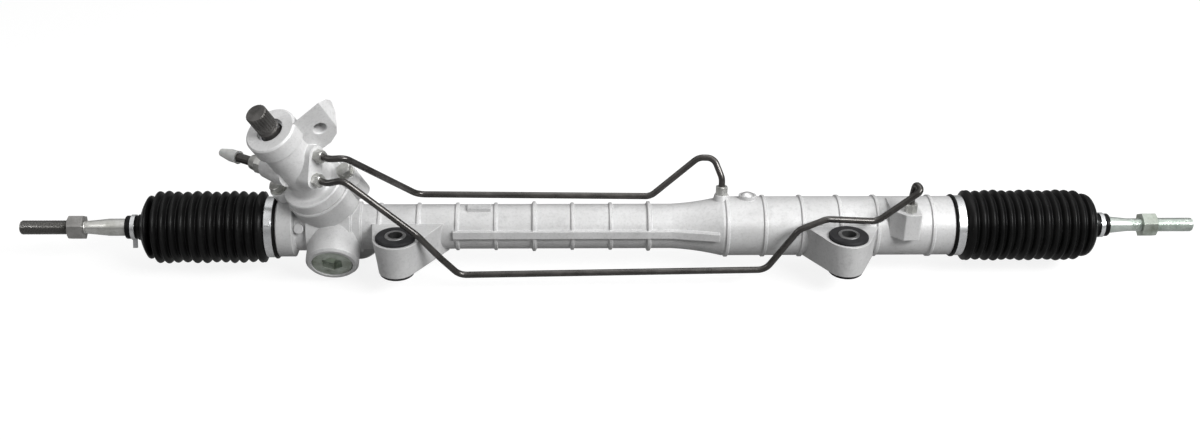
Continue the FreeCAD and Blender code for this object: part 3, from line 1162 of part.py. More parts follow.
def cylinder_end_bush():
    """Bush that closes the cylinder, guides the bar and stops the ball joint at full travel."""
    pocket = END_BUSH_START_X + OUTER_SEAL_WIDTH
    inner = RACK_RADIUS + RUNNING_FIT
    outer = CYLINDER_BORE - SEAT_FIT
    return on_rack(turned([(END_BUSH_SEAL_POCKET + SEAT_FIT, END_BUSH_START_X), (outer, END_BUSH_START_X),
                           (outer, END_BUSH_END_X), (inner + 1, END_BUSH_END_X), (inner, END_BUSH_END_X - 1),
                           (inner, pocket), (END_BUSH_SEAL_POCKET + SEAT_FIT, pocket)]))


def cylinder_outer_seal():
    low = END_BUSH_START_X
    high = END_BUSH_START_X + OUTER_SEAL_WIDTH - SEAT_FIT
    inner = RACK_RADIUS + RUNNING_FIT
    return on_rack(turned([(inner + 1, high), (END_BUSH_SEAL_POCKET, high), (END_BUSH_SEAL_POCKET, low),
                           (inner + 2.5, low), (inner + 2, low + 3), (inner, low + 2), (inner, high - 1)]))


def cylinder_end_ring():
    low = END_BUSH_END_X + SEAT_FIT
    return on_rack(ring(CYLINDER_BORE - SEAT_FIT, CYLINDER_BORE - 1.8, low, low + END_RING))


def core_plug():
    seat = CYLINDER_RADIUS + CORE_BOSS_PROUD - CORE_PLUG_DOME + SEAT_FIT
    rim = CYLINDER_RADIUS + CORE_BOSS_PROUD
    curve = (CORE_PLUG_RADIUS ** 2 + CORE_PLUG_DOME ** 2) / (2 * CORE_PLUG_DOME)
    half_way = math.asin(CORE_PLUG_RADIUS / curve) / 2
    crown = rim + CORE_PLUG_DOME
    dome = turned([(0, seat), (CORE_PLUG_RADIUS, seat), (CORE_PLUG_RADIUS, rim),
                   (0, crown, curve * math.sin(half_way), crown - curve * (1 - math.cos(half_way)))])
    return placed(dome, core_plug_place())


def tube_nuts(places):
    nuts = []
    for place in places:
        nut = nut_with_thread(NUT_HEX, NUT_LENGTH, NUT_THREAD_RADIUS, NUT_THREAD_LENGTH, PIPE_RADIUS + SEAT_FIT)
        nuts.append(placed(nut, place))
    return Part.makeCompound(nuts)


def valve_nut_places():
    places = []
    for height, offset in (UPPER_PORT, LOWER_PORT):
        place = port_place(height, offset)
        place.Base = place.Base + PORT_OUT * (PORT_FACE + SEAT_FIT)
        places.append(place)
    return places


def cylinder_nut_places():
    upper = upper_cylinder_port_place()
    out = upper.Rotation.multVec(Vector(0, 0, 1))
    upper.Base = upper.Base + out * (CYLINDER_RADIUS + CYLINDER_PORT_BOSS_PROUD + SEAT_FIT)
    lower = lower_cylinder_port_place()
    lower.Base = lower.Base + Vector(0, 0, SEAT_FIT)
    return [upper, lower]


def pipe_ends(place):
    """Where a pipe starts inside its nut, and where its straight end stops."""
    out = place.Rotation.multVec(Vector(0, 0, 1))
    return place.Base - out * (NUT_THREAD_LENGTH - 1), place.Base + out * (NUT_LENGTH + PIPE_STRAIGHT)


def transfer_pipe(valve_place, corners, cylinder_place):
    start, start_out = pipe_ends(valve_place)
    end, end_out = pipe_ends(cylinder_place)
    middle = [Vector(x, RACK_Y + y, RACK_Z + z) for x, y, z in corners]
    return bent_pipe([start, start_out] + middle + [end_out, end], PIPE_RADIUS, PIPE_BORE)


def upper_pipe():
    """Pipe from the upper valve port, along the back of the tube and over into the cylinder."""
    return transfer_pipe(valve_nut_places()[0], UPPER_PIPE_ROUTE, cylinder_nut_places()[0])


def lower_pipe():
    """Pipe from the lower valve port, down in front of the tube and up into the far end of the cylinder."""
    return transfer_pipe(valve_nut_places()[1], LOWER_PIPE_ROUTE, cylinder_nut_places()[1])


def return_port_union():
    low = RETURN_BOSS_END + SEAT_FIT
    thread = UNION_LENGTH - UNION_HEX_LENGTH
    union = bevelled_hexagon(UNION_HEX, low, low + UNION_HEX_LENGTH)
    nose = low + UNION_HEX_LENGTH
    neck = turned([(0, low - thread), (UNION_THREAD_RADIUS, low - thread), (UNION_THREAD_RADIUS, low),
                   (UNION_HEX / 2, nose), (UNION_NOSE_RADIUS, nose + UNION_NOSE_LENGTH - 1),
                   (UNION_NOSE_RADIUS - 1, nose + UNION_NOSE_LENGTH), (0, nose + UNION_NOSE_LENGTH)])
    union = union.fuse(neck)
    bore = rod(RETURN_TUBE_RADIUS + SEAT_FIT, low - thread - 1, nose + UNION_NOSE_LENGTH + 1)
    return placed(union.cut(bore), RETURN_PLACE)


def return_port_tube():
    low = RETURN_BOSS_END - UNION_LENGTH + UNION_HEX_LENGTH + 1
    return placed(ring(RETURN_TUBE_RADIUS, RETURN_TUBE_BORE, low, RETURN_TUBE_END), RETURN_PLACE)


def return_port_cap():
    """Soft transit cap pushed over the open end of the return tube."""
    inner = RETURN_TUBE_RADIUS + RUNNING_FIT
    outer = inner + CAP_WALL
    mouth = RETURN_TUBE_END - CAP_GRIP
    shoulder = RETURN_TUBE_END + 1.5
    cap = turned([(inner, mouth), (outer + 0.4, mouth), (outer, mouth + 2), (outer, shoulder - 1),
                  (CAP_TIP_RADIUS, shoulder + CAP_TIP_LENGTH), (0, shoulder + CAP_TIP_LENGTH),
                  (0, RETURN_TUBE_END + WORKING_GAP), (inner, RETURN_TUBE_END + WORKING_GAP)])
    return placed(cap, RETURN_PLACE)


def bush_rubber(side):
    """Bonded rubber bush, flanged over the top of the ear and lipped under its foot."""
    low = SLEEVE_PROUD
    foot = SLEEVE_PROUD + RUBBER_LIP - SEAT_FIT
    head = BUSH_LENGTH - SLEEVE_PROUD - RUBBER_FLANGE + SEAT_FIT
    top = BUSH_LENGTH - SLEEVE_PROUD
    inner = SLEEVE_RADIUS + SEAT_FIT
    outer = RUBBER_RADIUS - SEAT_FIT
    rubber = turned([(inner, low), (RUBBER_LIP_RADIUS - 1, low), (RUBBER_LIP_RADIUS, low + 1), (RUBBER_LIP_RADIUS, foot),
                     (outer, foot), (outer, head), (RUBBER_FLANGE_RADIUS, head), (RUBBER_FLANGE_RADIUS, top - 1.2),
                     (RUBBER_FLANGE_RADIUS - 1.2, top), (inner, top)])
    return placed(rubber, bush_place(side))


def bush_sleeve(side):
    return placed(turned([(SLEEVE_BORE, 0), (SLEEVE_RADIUS - 0.6, 0), (SLEEVE_RADIUS, 0.6),
                          (SLEEVE_RADIUS, BUSH_LENGTH - 0.6), (SLEEVE_RADIUS - 0.6, BUSH_LENGTH),
                          (SLEEVE_BORE, BUSH_LENGTH)]), bush_place(side))


def socket():
    """Inner ball joint housing: stud towards the rack, spherical pocket open outwards."""
    cavity = BALL_RADIUS + RUNNING_FIT + SEAT_THICKNESS + RUNNING_FIT
    lip = math.sqrt(cavity ** 2 - SOCKET_LIP ** 2)
    body = turned([(0, -SOCKET_BASE - STUD_LENGTH), (STUD_RADIUS - 1, -SOCKET_BASE - STUD_LENGTH),
                   (STUD_RADIUS, -SOCKET_BASE - STUD_LENGTH + 1), (STUD_RADIUS, -SOCKET_BASE),
                   (SOCKET_RADIUS - 2, -SOCKET_BASE), (SOCKET_RADIUS, -SOCKET_BASE + 2),
                   (SOCKET_RADIUS, SOCKET_LIP - 3), (lip + 1, SOCKET_LIP), (lip, SOCKET_LIP),
                   (0, -cavity, cavity * math.cos(math.radians(-25)), cavity * math.sin(math.radians(-25)))])
    flats = [block((side * 17 if side > 0 else -30, -30, -SOCKET_BASE - 1), (30 if side > 0 else -17, 30, -SOCKET_BASE + 8))
             for side in (-1, 1)]
    return body.cut(Part.makeCompound(flats))


def ball_seat():
    """Plastic shell between the ball and its socket."""
    inner = BALL_RADIUS + RUNNING_FIT
    outer = inner + SEAT_THICKNESS
    inner_mouth = math.sqrt(inner ** 2 - SEAT_MOUTH ** 2)
    outer_mouth = math.sqrt(outer ** 2 - SEAT_MOUTH ** 2)
    low = math.radians(-25)
    return turned([(0, -outer), (outer_mouth, SEAT_MOUTH, outer * math.cos(low), outer * math.sin(low)),
                   (inner_mouth, SEAT_MOUTH), (0, -inner, inner * math.cos(low), inner * math.sin(low))])


def lock_washer():
    """Tab washer between the ball joint housing and the end of the bar."""
    washer = ring(WASHER_RADIUS, STUD_RADIUS + SEAT_FIT, -SOCKET_SETBACK + SEAT_FIT, -SOCKET_BASE - SEAT_FIT)
    return washer


def tie_rod(nut_place):
    """Ball, neck, plain shank and thread in one piece, a shade thinner up to the outer face of its lock nut."""
    neck = math.sqrt(BALL_RADIUS ** 2 - BALL_NECK_RADIUS ** 2)
    shank = neck + 12
    nut_end = nut_place + LOCK_NUT_LENGTH
    relieved = THREAD_RADIUS - THREAD_RELIEF
    return turned([(0, -BALL_RADIUS), (BALL_NECK_RADIUS, neck, BALL_RADIUS, 0), (BALL_NECK_RADIUS, shank - 2),
                   (TIE_ROD_RADIUS, shank), (TIE_ROD_RADIUS, TIE_ROD_THIN_START),
                   (TIE_ROD_THIN_RADIUS, TIE_ROD_THREAD_START - 2), (relieved, TIE_ROD_THREAD_START),
                   (relieved, nut_end), (THREAD_RADIUS, nut_end + THREAD_RELIEF),
                   (THREAD_RADIUS, TIE_ROD_REACH - 1.5), (THREAD_RADIUS - 1.5, TIE_ROD_REACH), (0, TIE_ROD_REACH)])


def lock_nut(place):
    nut = bevelled_hexagon(LOCK_NUT_HEX, place, place + LOCK_NUT_LENGTH)
    return nut.cut(rod(THREAD_RADIUS - THREAD_RELIEF + SEAT_FIT, place - 1, place + LOCK_NUT_LENGTH + 1))


def bellows(mouth, cuff_end, crest_count, setbacks):
    """Folded boot about local z, from its mouth on the housing to its cuff on the tie rod."""
    seat_start = mouth + BELLOWS_LIP_WIDTH
    folds_start = seat_start + CLAMP_WIDTH + 1
    cuff_start = cuff_end - CUFF_LENGTH
    first = folds_start + setbacks[0]
    last = cuff_start - setbacks[1]
    pitch = (last - first) / (crest_count - 1)
    mouth_bore = SPIGOT_RADIUS + SOFT_GAP
    seat = mouth_bore + BELLOWS_WALL
    outline = [(mouth_bore, mouth), (BELLOWS_LIP_RADIUS, mouth), (BELLOWS_LIP_RADIUS, seat_start),
               (seat, seat_start), (seat, folds_start)]
    for index in range(crest_count):
        crest = first + index * pitch
        is_last = index == crest_count - 1
        outline.append((BELLOWS_END_CREST_RADIUS if is_last else BELLOWS_CREST_RADIUS, crest))
        if not is_last:
            outline.append((BELLOWS_VALLEY_RADIUS, crest + pitch / 2))
    bore = TIE_ROD_RADIUS + SOFT_GAP
    outline += [(CUFF_RADIUS, cuff_start), (CUFF_RADIUS, cuff_end), (bore, cuff_end), (bore, cuff_start),
                (BELLOWS_BORE, last - 2), (BELLOWS_BORE, folds_start + 4), (mouth_bore, folds_start + 3)]
    return turned(outline)


def bellows_clamp(mouth):
    """Steel band round the bellows mouth, with a crimped ear."""
    start = mouth + BELLOWS_LIP_WIDTH + SEAT_FIT
    inner = SPIGOT_RADIUS + SOFT_GAP + BELLOWS_WALL + SEAT_FIT
    band = ring(inner + CLAMP_THICKNESS, inner, start, start + CLAMP_WIDTH)
    ear_block = block((inner + 0.2, -3.5, start + 1.2), (inner + 5, 3.5, start + CLAMP_WIDTH - 1.2))
    ear_block.rotate(Vector(0, 0, 0), Vector(0, 0, 1), 215)
    return band.fuse(ear_block)


def bellows_clip(cuff_end, tail_angle):
    """Spring clip round the bellows cuff, with its two tails pinched together."""
    start = cuff_end - CLIP_SETBACK
    inner = CUFF_RADIUS + SOFT_GAP
    band = ring(inner + CLIP_THICKNESS, inner, start, start + CLIP_WIDTH)
    tail = block((inner + 0.2, -1.6, start), (inner + 9, 1.6, start + CLIP_WIDTH))
    tail.rotate(Vector(0, 0, 0), Vector(0, 0, 1), tail_angle)
    return band.fuse(tail)


def nodes():
    """Every separate piece, by its node's name."""
    left_cuff = LEFT_CUFF_END - LEFT_BALL_X
    right_cuff = RIGHT_CUFF_END + RIGHT_BALL_X
    mirror = Placement(Vector(0, 0, 0), FreeCAD.Rotation(Vector(0, 0, 1), 180))
    return {
        "rack_housing": rack_housing(),
        "valve_housing": valve_housing(),
        "valve_housing_bolts": valve_housing_bolts(),
        "valve_housing_seal": valve_housing_seal(),
        "input_shaft_bearing": input_bearing(),
        "input_shaft_seal": input_shaft_seal(),
        "input_shaft_snap_ring": input_snap_ring(),
        "pinion_upper_bearing": pinion_upper_bearing(),
        "pinion_seal": pinion_seal(),
        "pinion_lower_bearing": pinion_lower_bearing(),
        "pinion_end_cap": pinion_end_cap(),
        "yoke": yoke(),
        "yoke_liner": yoke_liner(),
        "yoke_seal": yoke_seal(),
        "yoke_spring": yoke_spring(),
        "yoke_adjuster_plug": yoke_adjuster_plug(),
        "left_bush_rubber": bush_rubber(-1),
        "right_bush_rubber": bush_rubber(1),
        "left_bush_sleeve": bush_sleeve(-1),
        "right_bush_sleeve": bush_sleeve(1),
        "cylinder_inner_seal": cylinder_inner_seal(),
        "cylinder_outer_seal": cylinder_outer_seal(),
        "cylinder_end_bush": cylinder_end_bush(),
        "cylinder_end_ring": cylinder_end_ring(),
        "cylinder_core_plug": core_plug(),
        "upper_pipe": upper_pipe(),
        "lower_pipe": lower_pipe(),
        "valve_pipe_nuts": tube_nuts(valve_nut_places()),
        "cylinder_pipe_nuts": tube_nuts(cylinder_nut_places()),
        "return_port_union": return_port_union(),
        "return_port_tube": return_port_tube(),
        "return_port_cap": return_port_cap(),
        "rack_bar": rack_bar(),
        "piston": piston(),
        "piston_ring": piston_ring(),
        "piston_clips": piston_clips(),
        "pinion": pinion(),
        "pinion_inner_race": pinion_inner_race(),
        "pinion_lower_nut": pinion_lower_nut(),
        "torsion_bar": torsion_bar(),
        "torsion_bar_lower_pin": cross_pin(pin_height(0), UPPER_JOURNAL_RADIUS - WORKING_GAP),
        "torsion_bar_upper_pin": cross_pin(pin_height(1), INPUT_NECK_RADIUS - WORKING_GAP),
        "valve_sleeve": valve_sleeve(),
        "valve_sleeve_pin": drive_pin(),
        "valve_sleeve_rings": sleeve_seal_rings(),
        "input_shaft": input_shaft(),
        "left_ball_housing": on_rack_reversed(socket(), LEFT_BALL_X),
        "right_ball_housing": on_rack(socket(), RIGHT_BALL_X),
        "left_ball_seat": on_rack_reversed(ball_seat(), LEFT_BALL_X),
        "right_ball_seat": on_rack(ball_seat(), RIGHT_BALL_X),
        "left_tie_rod": on_rack_reversed(tie_rod(LEFT_NUT_PLACE), LEFT_BALL_X),
        "right_tie_rod": on_rack(tie_rod(RIGHT_NUT_PLACE), RIGHT_BALL_X),
        "ball_lock_washers": Part.makeCompound([on_rack_reversed(lock_washer(), LEFT_BALL_X),
                                                on_rack(lock_washer(), RIGHT_BALL_X)]),
        "left_lock_nut": on_rack_reversed(lock_nut(LEFT_NUT_PLACE), LEFT_BALL_X),
        "right_lock_nut": on_rack(lock_nut(RIGHT_NUT_PLACE), RIGHT_BALL_X),
        "left_bellows": on_rack_reversed(bellows(LEFT_MOUTH, left_cuff, LEFT_CREST_COUNT, LEFT_CREST_SETBACKS)),
        "right_bellows": on_rack(bellows(RIGHT_MOUTH, right_cuff, RIGHT_CREST_COUNT, RIGHT_CREST_SETBACKS)),
        "bellows_clamps": Part.makeCompound([on_rack_reversed(bellows_clamp(LEFT_MOUTH)),
                                             on_rack(placed(bellows_clamp(RIGHT_MOUTH), mirror))]),
        "left_bellows_clip": on_rack_reversed(bellows_clip(left_cuff, 110)),
        "right_bellows_clip": on_rack(bellows_clip(right_cuff, 330)),
    }


def main():
    os.makedirs("parts", exist_ok=True)
    for name, shape in nodes().items():
        shape.exportStep("parts/" + name + ".step")
        print(name, len(shape.Solids), "solids, volume", round(shape.Volume, 1), "valid", shape.isValid())


main()
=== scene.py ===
import bmesh
import bpy
import json
import math
from mathutils import Matrix, Vector

# A hydraulic power steering rack, dressed over its CAD frame. Metres throughout.
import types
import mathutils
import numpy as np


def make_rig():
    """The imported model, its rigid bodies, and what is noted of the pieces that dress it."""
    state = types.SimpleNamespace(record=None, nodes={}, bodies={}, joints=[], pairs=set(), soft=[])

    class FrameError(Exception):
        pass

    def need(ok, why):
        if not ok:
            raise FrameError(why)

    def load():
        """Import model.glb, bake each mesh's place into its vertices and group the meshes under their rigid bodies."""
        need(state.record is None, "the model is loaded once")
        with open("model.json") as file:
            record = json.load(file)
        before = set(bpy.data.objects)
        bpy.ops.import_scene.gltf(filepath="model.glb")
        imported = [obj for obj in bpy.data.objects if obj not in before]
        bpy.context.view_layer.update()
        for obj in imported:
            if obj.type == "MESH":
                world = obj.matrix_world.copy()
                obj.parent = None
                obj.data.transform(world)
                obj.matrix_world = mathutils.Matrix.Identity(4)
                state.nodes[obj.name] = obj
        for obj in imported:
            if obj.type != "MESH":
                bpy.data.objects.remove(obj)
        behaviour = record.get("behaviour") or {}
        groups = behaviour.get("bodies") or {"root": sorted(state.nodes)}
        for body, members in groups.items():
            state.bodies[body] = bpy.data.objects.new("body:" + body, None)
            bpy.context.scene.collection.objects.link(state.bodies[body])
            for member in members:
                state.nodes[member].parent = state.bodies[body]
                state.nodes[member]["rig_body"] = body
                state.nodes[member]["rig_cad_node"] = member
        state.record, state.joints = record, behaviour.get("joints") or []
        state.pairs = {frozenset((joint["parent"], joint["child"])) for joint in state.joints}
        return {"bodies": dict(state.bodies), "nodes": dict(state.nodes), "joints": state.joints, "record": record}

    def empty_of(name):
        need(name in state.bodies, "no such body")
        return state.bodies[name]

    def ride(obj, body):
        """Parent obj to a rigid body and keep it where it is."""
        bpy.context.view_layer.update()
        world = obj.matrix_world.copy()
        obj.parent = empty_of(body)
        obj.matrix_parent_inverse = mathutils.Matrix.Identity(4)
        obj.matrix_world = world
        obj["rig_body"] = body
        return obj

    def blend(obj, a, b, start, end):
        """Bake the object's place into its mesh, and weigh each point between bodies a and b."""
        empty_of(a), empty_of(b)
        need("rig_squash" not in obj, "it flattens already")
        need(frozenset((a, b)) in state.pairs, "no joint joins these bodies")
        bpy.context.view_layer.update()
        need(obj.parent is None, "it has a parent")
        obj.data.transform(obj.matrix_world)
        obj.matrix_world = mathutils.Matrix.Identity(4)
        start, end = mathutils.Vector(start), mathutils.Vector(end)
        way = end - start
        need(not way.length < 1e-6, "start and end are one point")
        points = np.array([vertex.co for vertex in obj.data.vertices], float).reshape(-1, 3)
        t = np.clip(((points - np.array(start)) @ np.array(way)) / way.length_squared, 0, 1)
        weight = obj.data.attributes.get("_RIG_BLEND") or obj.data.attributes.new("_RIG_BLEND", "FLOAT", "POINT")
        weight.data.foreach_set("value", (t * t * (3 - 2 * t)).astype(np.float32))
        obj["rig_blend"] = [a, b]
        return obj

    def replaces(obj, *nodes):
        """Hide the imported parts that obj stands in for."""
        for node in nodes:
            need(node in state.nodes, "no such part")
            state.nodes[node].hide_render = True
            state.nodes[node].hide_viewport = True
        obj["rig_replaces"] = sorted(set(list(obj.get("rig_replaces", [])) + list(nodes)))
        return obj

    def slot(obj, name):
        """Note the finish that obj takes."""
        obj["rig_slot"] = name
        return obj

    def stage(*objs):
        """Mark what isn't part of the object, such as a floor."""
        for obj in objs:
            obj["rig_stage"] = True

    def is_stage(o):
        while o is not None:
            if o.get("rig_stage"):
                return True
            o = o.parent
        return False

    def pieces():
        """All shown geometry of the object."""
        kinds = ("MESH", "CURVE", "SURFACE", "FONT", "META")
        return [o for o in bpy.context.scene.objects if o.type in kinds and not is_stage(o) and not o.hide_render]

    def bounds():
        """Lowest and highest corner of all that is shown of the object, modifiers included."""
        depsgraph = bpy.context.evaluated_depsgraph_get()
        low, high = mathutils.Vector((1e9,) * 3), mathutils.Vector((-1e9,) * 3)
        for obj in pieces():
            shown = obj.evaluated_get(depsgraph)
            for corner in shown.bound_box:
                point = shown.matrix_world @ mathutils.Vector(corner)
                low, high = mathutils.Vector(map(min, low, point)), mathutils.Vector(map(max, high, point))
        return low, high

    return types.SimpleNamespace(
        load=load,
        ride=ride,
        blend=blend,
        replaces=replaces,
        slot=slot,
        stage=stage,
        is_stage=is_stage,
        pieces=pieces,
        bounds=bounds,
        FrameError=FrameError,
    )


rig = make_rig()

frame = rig.load()
cad_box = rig.bounds()
nodes = frame["nodes"]

# Camera: it looks at the middle of the rack from the front and above
CAMERA_TARGET = Vector((-0.020686, 0.052726, 0.031345))
CAMERA_BACK = Vector((-0.03886516, -0.89015848, 0.4539905))
CAMERA_RIGHT = Vector((0.99924167, -0.03569706, 0.01555021))
CAMERA_UP = Vector((0.00236398, 0.45425059, 0.89087082))
CAMERA_DISTANCE = 1.4
CAMERA_LENS = 42.0
CAMERA_SENSOR = 36.0
CAMERA_CLIP = (0.01, 100)

# The rack's axis runs along X through this Y and Z
RACK_Y = 0.050
RACK_Z = 0.026


def mm(value):
    return value / 1000.0


# Materials

# Radii that sharp edges are rounded to, and how far a rounded edge turns where wear begins and is full
CAST_EDGE = mm(1.2)
STEEL_EDGE = mm(0.4)
PLASTIC_EDGE = mm(0.4)
ROD_EDGE = mm(0.3)
WEAR_BEGINS, WEAR_FULL = 0.01, 0.16
PLASTIC_ROUGHNESS = 0.45
# Along X: the rods' tone changes within this much of the middle, and the left thread is oiled between these
ROD_TONE_CHANGE = mm(100)
OILED_FROM, OILED_TO = mm(-530), mm(-536)
MAP_RANGE = ("From Min", "From Max", "To Min", "To Max")


class Shader:
    """Builds one material's node tree, a node at a time."""

    def __init__(self, name):
        self.material = bpy.data.materials.new(name)
        self.material.use_nodes = True
        self.tree = self.material.node_tree
        self.tree.nodes.clear()
        self.coords = self.add("ShaderNodeTexCoord").outputs["Object"]
        self.bsdf = self.add("ShaderNodeBsdfPrincipled")
        output = self.add("ShaderNodeOutputMaterial")
        self.tree.links.new(self.bsdf.outputs[0], output.inputs["Surface"])

    def add(self, kind, **settings):
        made = self.tree.nodes.new(kind)
        for key, value in settings.items():
            setattr(made, key, value)
        return made

    def put(self, socket, value):
        """Links an output to a socket, or sets the socket's own value."""
        if isinstance(value, bpy.types.NodeSocket):
            self.tree.links.new(value, socket)
        else:
            socket.default_value = value

    def noise(self, scale, detail, roughness, stretch=None):
        texture = self.add("ShaderNodeTexNoise")
        where = self.coords
        if stretch:
            mapping = self.add("ShaderNodeMapping")
            self.put(mapping.inputs["Vector"], where)
            mapping.inputs["Scale"].default_value = stretch
            where = mapping.outputs[0]
        self.put(texture.inputs["Vector"], where)
        texture.inputs["Scale"].default_value = scale
        texture.inputs["Detail"].default_value = detail
        texture.inputs["Roughness"].default_value = roughness
        return texture.outputs["Fac"]

    def span(self, value, low, high, out_low, out_high):
        """Maps a value's range onto another, clamped."""
        node = self.add("ShaderNodeMapRange")
        self.put(node.inputs["Value"], value)
        for key, number in zip(MAP_RANGE, (low, high, out_low, out_high)):
            node.inputs[key].default_value = number
        return node.outputs[0]

    def mix(self, factor, first, second):
        node = self.add("ShaderNodeMix", data_type="RGBA")
        self.put(node.inputs[0], factor)
        for socket, value in ((node.inputs[6], first), (node.inputs[7], second)):
            self.put(socket, value if isinstance(value, bpy.types.NodeSocket) else (*value, 1.0))
        return node.outputs[2]

    def maths(self, operation, first, second):
        node = self.add("ShaderNodeMath", operation=operation)
        self.put(node.inputs[0], first)
        self.put(node.inputs[1], second)
        return node.outputs[0]

    def rounded(self, radius):
        """A normal that rounds off the sharp edges within a radius."""
        node = self.add("ShaderNodeBevel", samples=4)
        node.inputs["Radius"].default_value = radius
        return node.outputs[0]

    def edges(self, rounded_normal):
        """0 on flat ground, up to 1 along the sharp edges."""
        geometry = self.add("ShaderNodeNewGeometry")
        dot = self.add("ShaderNodeVectorMath", operation="DOT_PRODUCT")
        self.put(dot.inputs[0], rounded_normal)
        self.put(dot.inputs[1], geometry.outputs["Normal"])
        return self.span(self.maths("SUBTRACT", 1.0, dot.outputs["Value"]), WEAR_BEGINS, WEAR_FULL, 0.0, 1.0)

    def bump(self, height, strength, distance, normal=None):
        node = self.add("ShaderNodeBump")
        self.put(node.inputs["Height"], height)
        node.inputs["Strength"].default_value = strength
        node.inputs["Distance"].default_value = distance
        if normal is not None:
            self.put(node.inputs["Normal"], normal)
        return node.outputs[0]

    def finish(self, colour, metallic, roughness, normal, **constants):
        self.put(self.bsdf.inputs["Base Color"], colour)
        self.bsdf.inputs["Metallic"].default_value = metallic
        self.put(self.bsdf.inputs["Roughness"], roughness)
        self.put(self.bsdf.inputs["Normal"], normal)
        for key, value in constants.items():
            self.bsdf.inputs[key.replace("_", " ")].default_value = value
        return self.material


def cast_alloy(name, tint):
    """Sand-textured light alloy, darker in random patches and brighter along its edges."""
    s = Shader(name)
    tone = s.noise(26.0, 5.0, 0.6)
    dirt = s.noise(90.0, 4.0, 0.7)
    sand = s.noise(1500.0, 2.0, 0.6)
    pits = s.noise(420.0, 3.0, 0.65)
    normal = s.rounded(CAST_EDGE)
    base = s.mix(s.span(tone, 0.35, 0.68, 0.0, 1.0), tint, [c * 0.86 for c in tint])
    base = s.mix(s.span(dirt, 0.56, 0.74, 0.0, 0.55), base, [c * 0.62 for c in tint])
    base = s.mix(s.span(pits, 0.5, 0.72, 0.0, 0.4), base, [c * 0.6 for c in tint])
    edge = s.edges(normal)
    base = s.mix(s.maths("MULTIPLY", edge, 0.45), base, (0.93, 0.93, 0.93))
    rough = s.span(dirt, 0.3, 0.7, 0.36, 0.55)
    grain = s.bump(s.maths("ADD", sand, s.maths("MULTIPLY", pits, 1.6)), 0.35, 0.00035, normal)
    return s.finish(base, 0.15, rough, grain)


def plated(name, tint, stain, roughness=0.32, metallic=0.9):
    """Plated or ground steel: cloudy tone, fine tool marks and rubbed edges."""
    s = Shader(name)
    cloud = s.noise(60.0, 4.0, 0.65)
    marks = s.noise(700.0, 3.0, 0.6)
    normal = s.rounded(STEEL_EDGE)
    base = s.mix(s.span(cloud, 0.38, 0.68, 0.0, 1.0), tint, stain)
    base = s.mix(s.span(marks, 0.55, 0.75, 0.0, 0.35), base, [c * 0.55 for c in stain])
    rubbed = [min(1.0, c * 1.35 + 0.05) for c in tint]
    base = s.mix(s.maths("MULTIPLY", s.edges(normal), 0.5), base, rubbed)
    rough = s.span(cloud, 0.3, 0.7, roughness * 0.8, roughness * 1.35)
    return s.finish(base, metallic, rough, s.bump(marks, 0.2, 0.00012, normal))


def rod_finish(name):
    """Cloudy zinc, warm on the left rod and faintly green on the right; the left thread is oiled dark."""
    s = Shader(name)
    x = s.add("ShaderNodeSeparateXYZ")
    s.put(x.inputs[0], s.coords)
    cloud = s.noise(60.0, 4.0, 0.65)
    marks = s.noise(500.0, 3.0, 0.6, stretch=(0.4, 1.0, 1.0))
    stained = s.span(cloud, 0.38, 0.68, 0.0, 1.0)
    warm = s.mix(stained, (0.62, 0.62, 0.60), (0.40, 0.40, 0.37))
    green = s.mix(stained, (0.64, 0.69, 0.65), (0.42, 0.48, 0.44))
    base = s.mix(s.span(x.outputs["X"], -ROD_TONE_CHANGE, ROD_TONE_CHANGE, 0.0, 1.0), warm, green)
    oiled = s.span(x.outputs["X"], OILED_TO, OILED_FROM, 1.0, 0.0)
    base = s.mix(s.maths("MULTIPLY", oiled, 0.85), base, (0.055, 0.052, 0.05))
    base = s.mix(s.span(marks, 0.55, 0.75, 0.0, 0.4), base, (0.22, 0.21, 0.19))
    rough = s.span(cloud, 0.3, 0.7, 0.24, 0.4)
    return s.finish(base, 0.85, rough, s.bump(marks, 0.2, 0.00012, s.rounded(ROD_EDGE)))


def black_rubber(name, tint=(0.003, 0.003, 0.003), roughness=0.34):
    """Moulded rubber: near black, a faint bloom and a fine leathery skin."""
    s = Shader(name)
    bloom = s.noise(45.0, 5.0, 0.7)
    skin = s.noise(1100.0, 3.0, 0.6)
    dust = s.noise(320.0, 2.0, 0.5)
    base = s.mix(s.span(bloom, 0.45, 0.75, 0.0, 0.8), tint, [c * 2.6 for c in tint])
    base = s.mix(s.span(dust, 0.68, 0.78, 0.0, 0.35), base, (0.05, 0.05, 0.05))
    rough = s.span(bloom, 0.3, 0.7, roughness * 0.85, roughness * 1.3)
    return s.finish(base, 0.0, rough, s.bump(skin, 0.3, 0.0001), Specular_IOR_Level=0.11)


def coated_pipe(name):
    """Thin black coat over drawn steel, rubbed to a bronze sheen."""
    s = Shader(name)
    cloud = s.noise(38.0, 4.0, 0.65)
    fleck = s.noise(420.0, 3.0, 0.6)
    base = s.mix(s.span(cloud, 0.35, 0.7, 0.0, 1.0), (0.032, 0.030, 0.028), (0.075, 0.070, 0.066))
    base = s.mix(s.span(fleck, 0.62, 0.74, 0.0, 0.6), base, (0.10, 0.09, 0.075))
    rough = s.span(cloud, 0.3, 0.7, 0.22, 0.36)
    return s.finish(base, 0.65, rough, s.bump(fleck, 0.18, 0.0001), Coat_Weight=0.25)


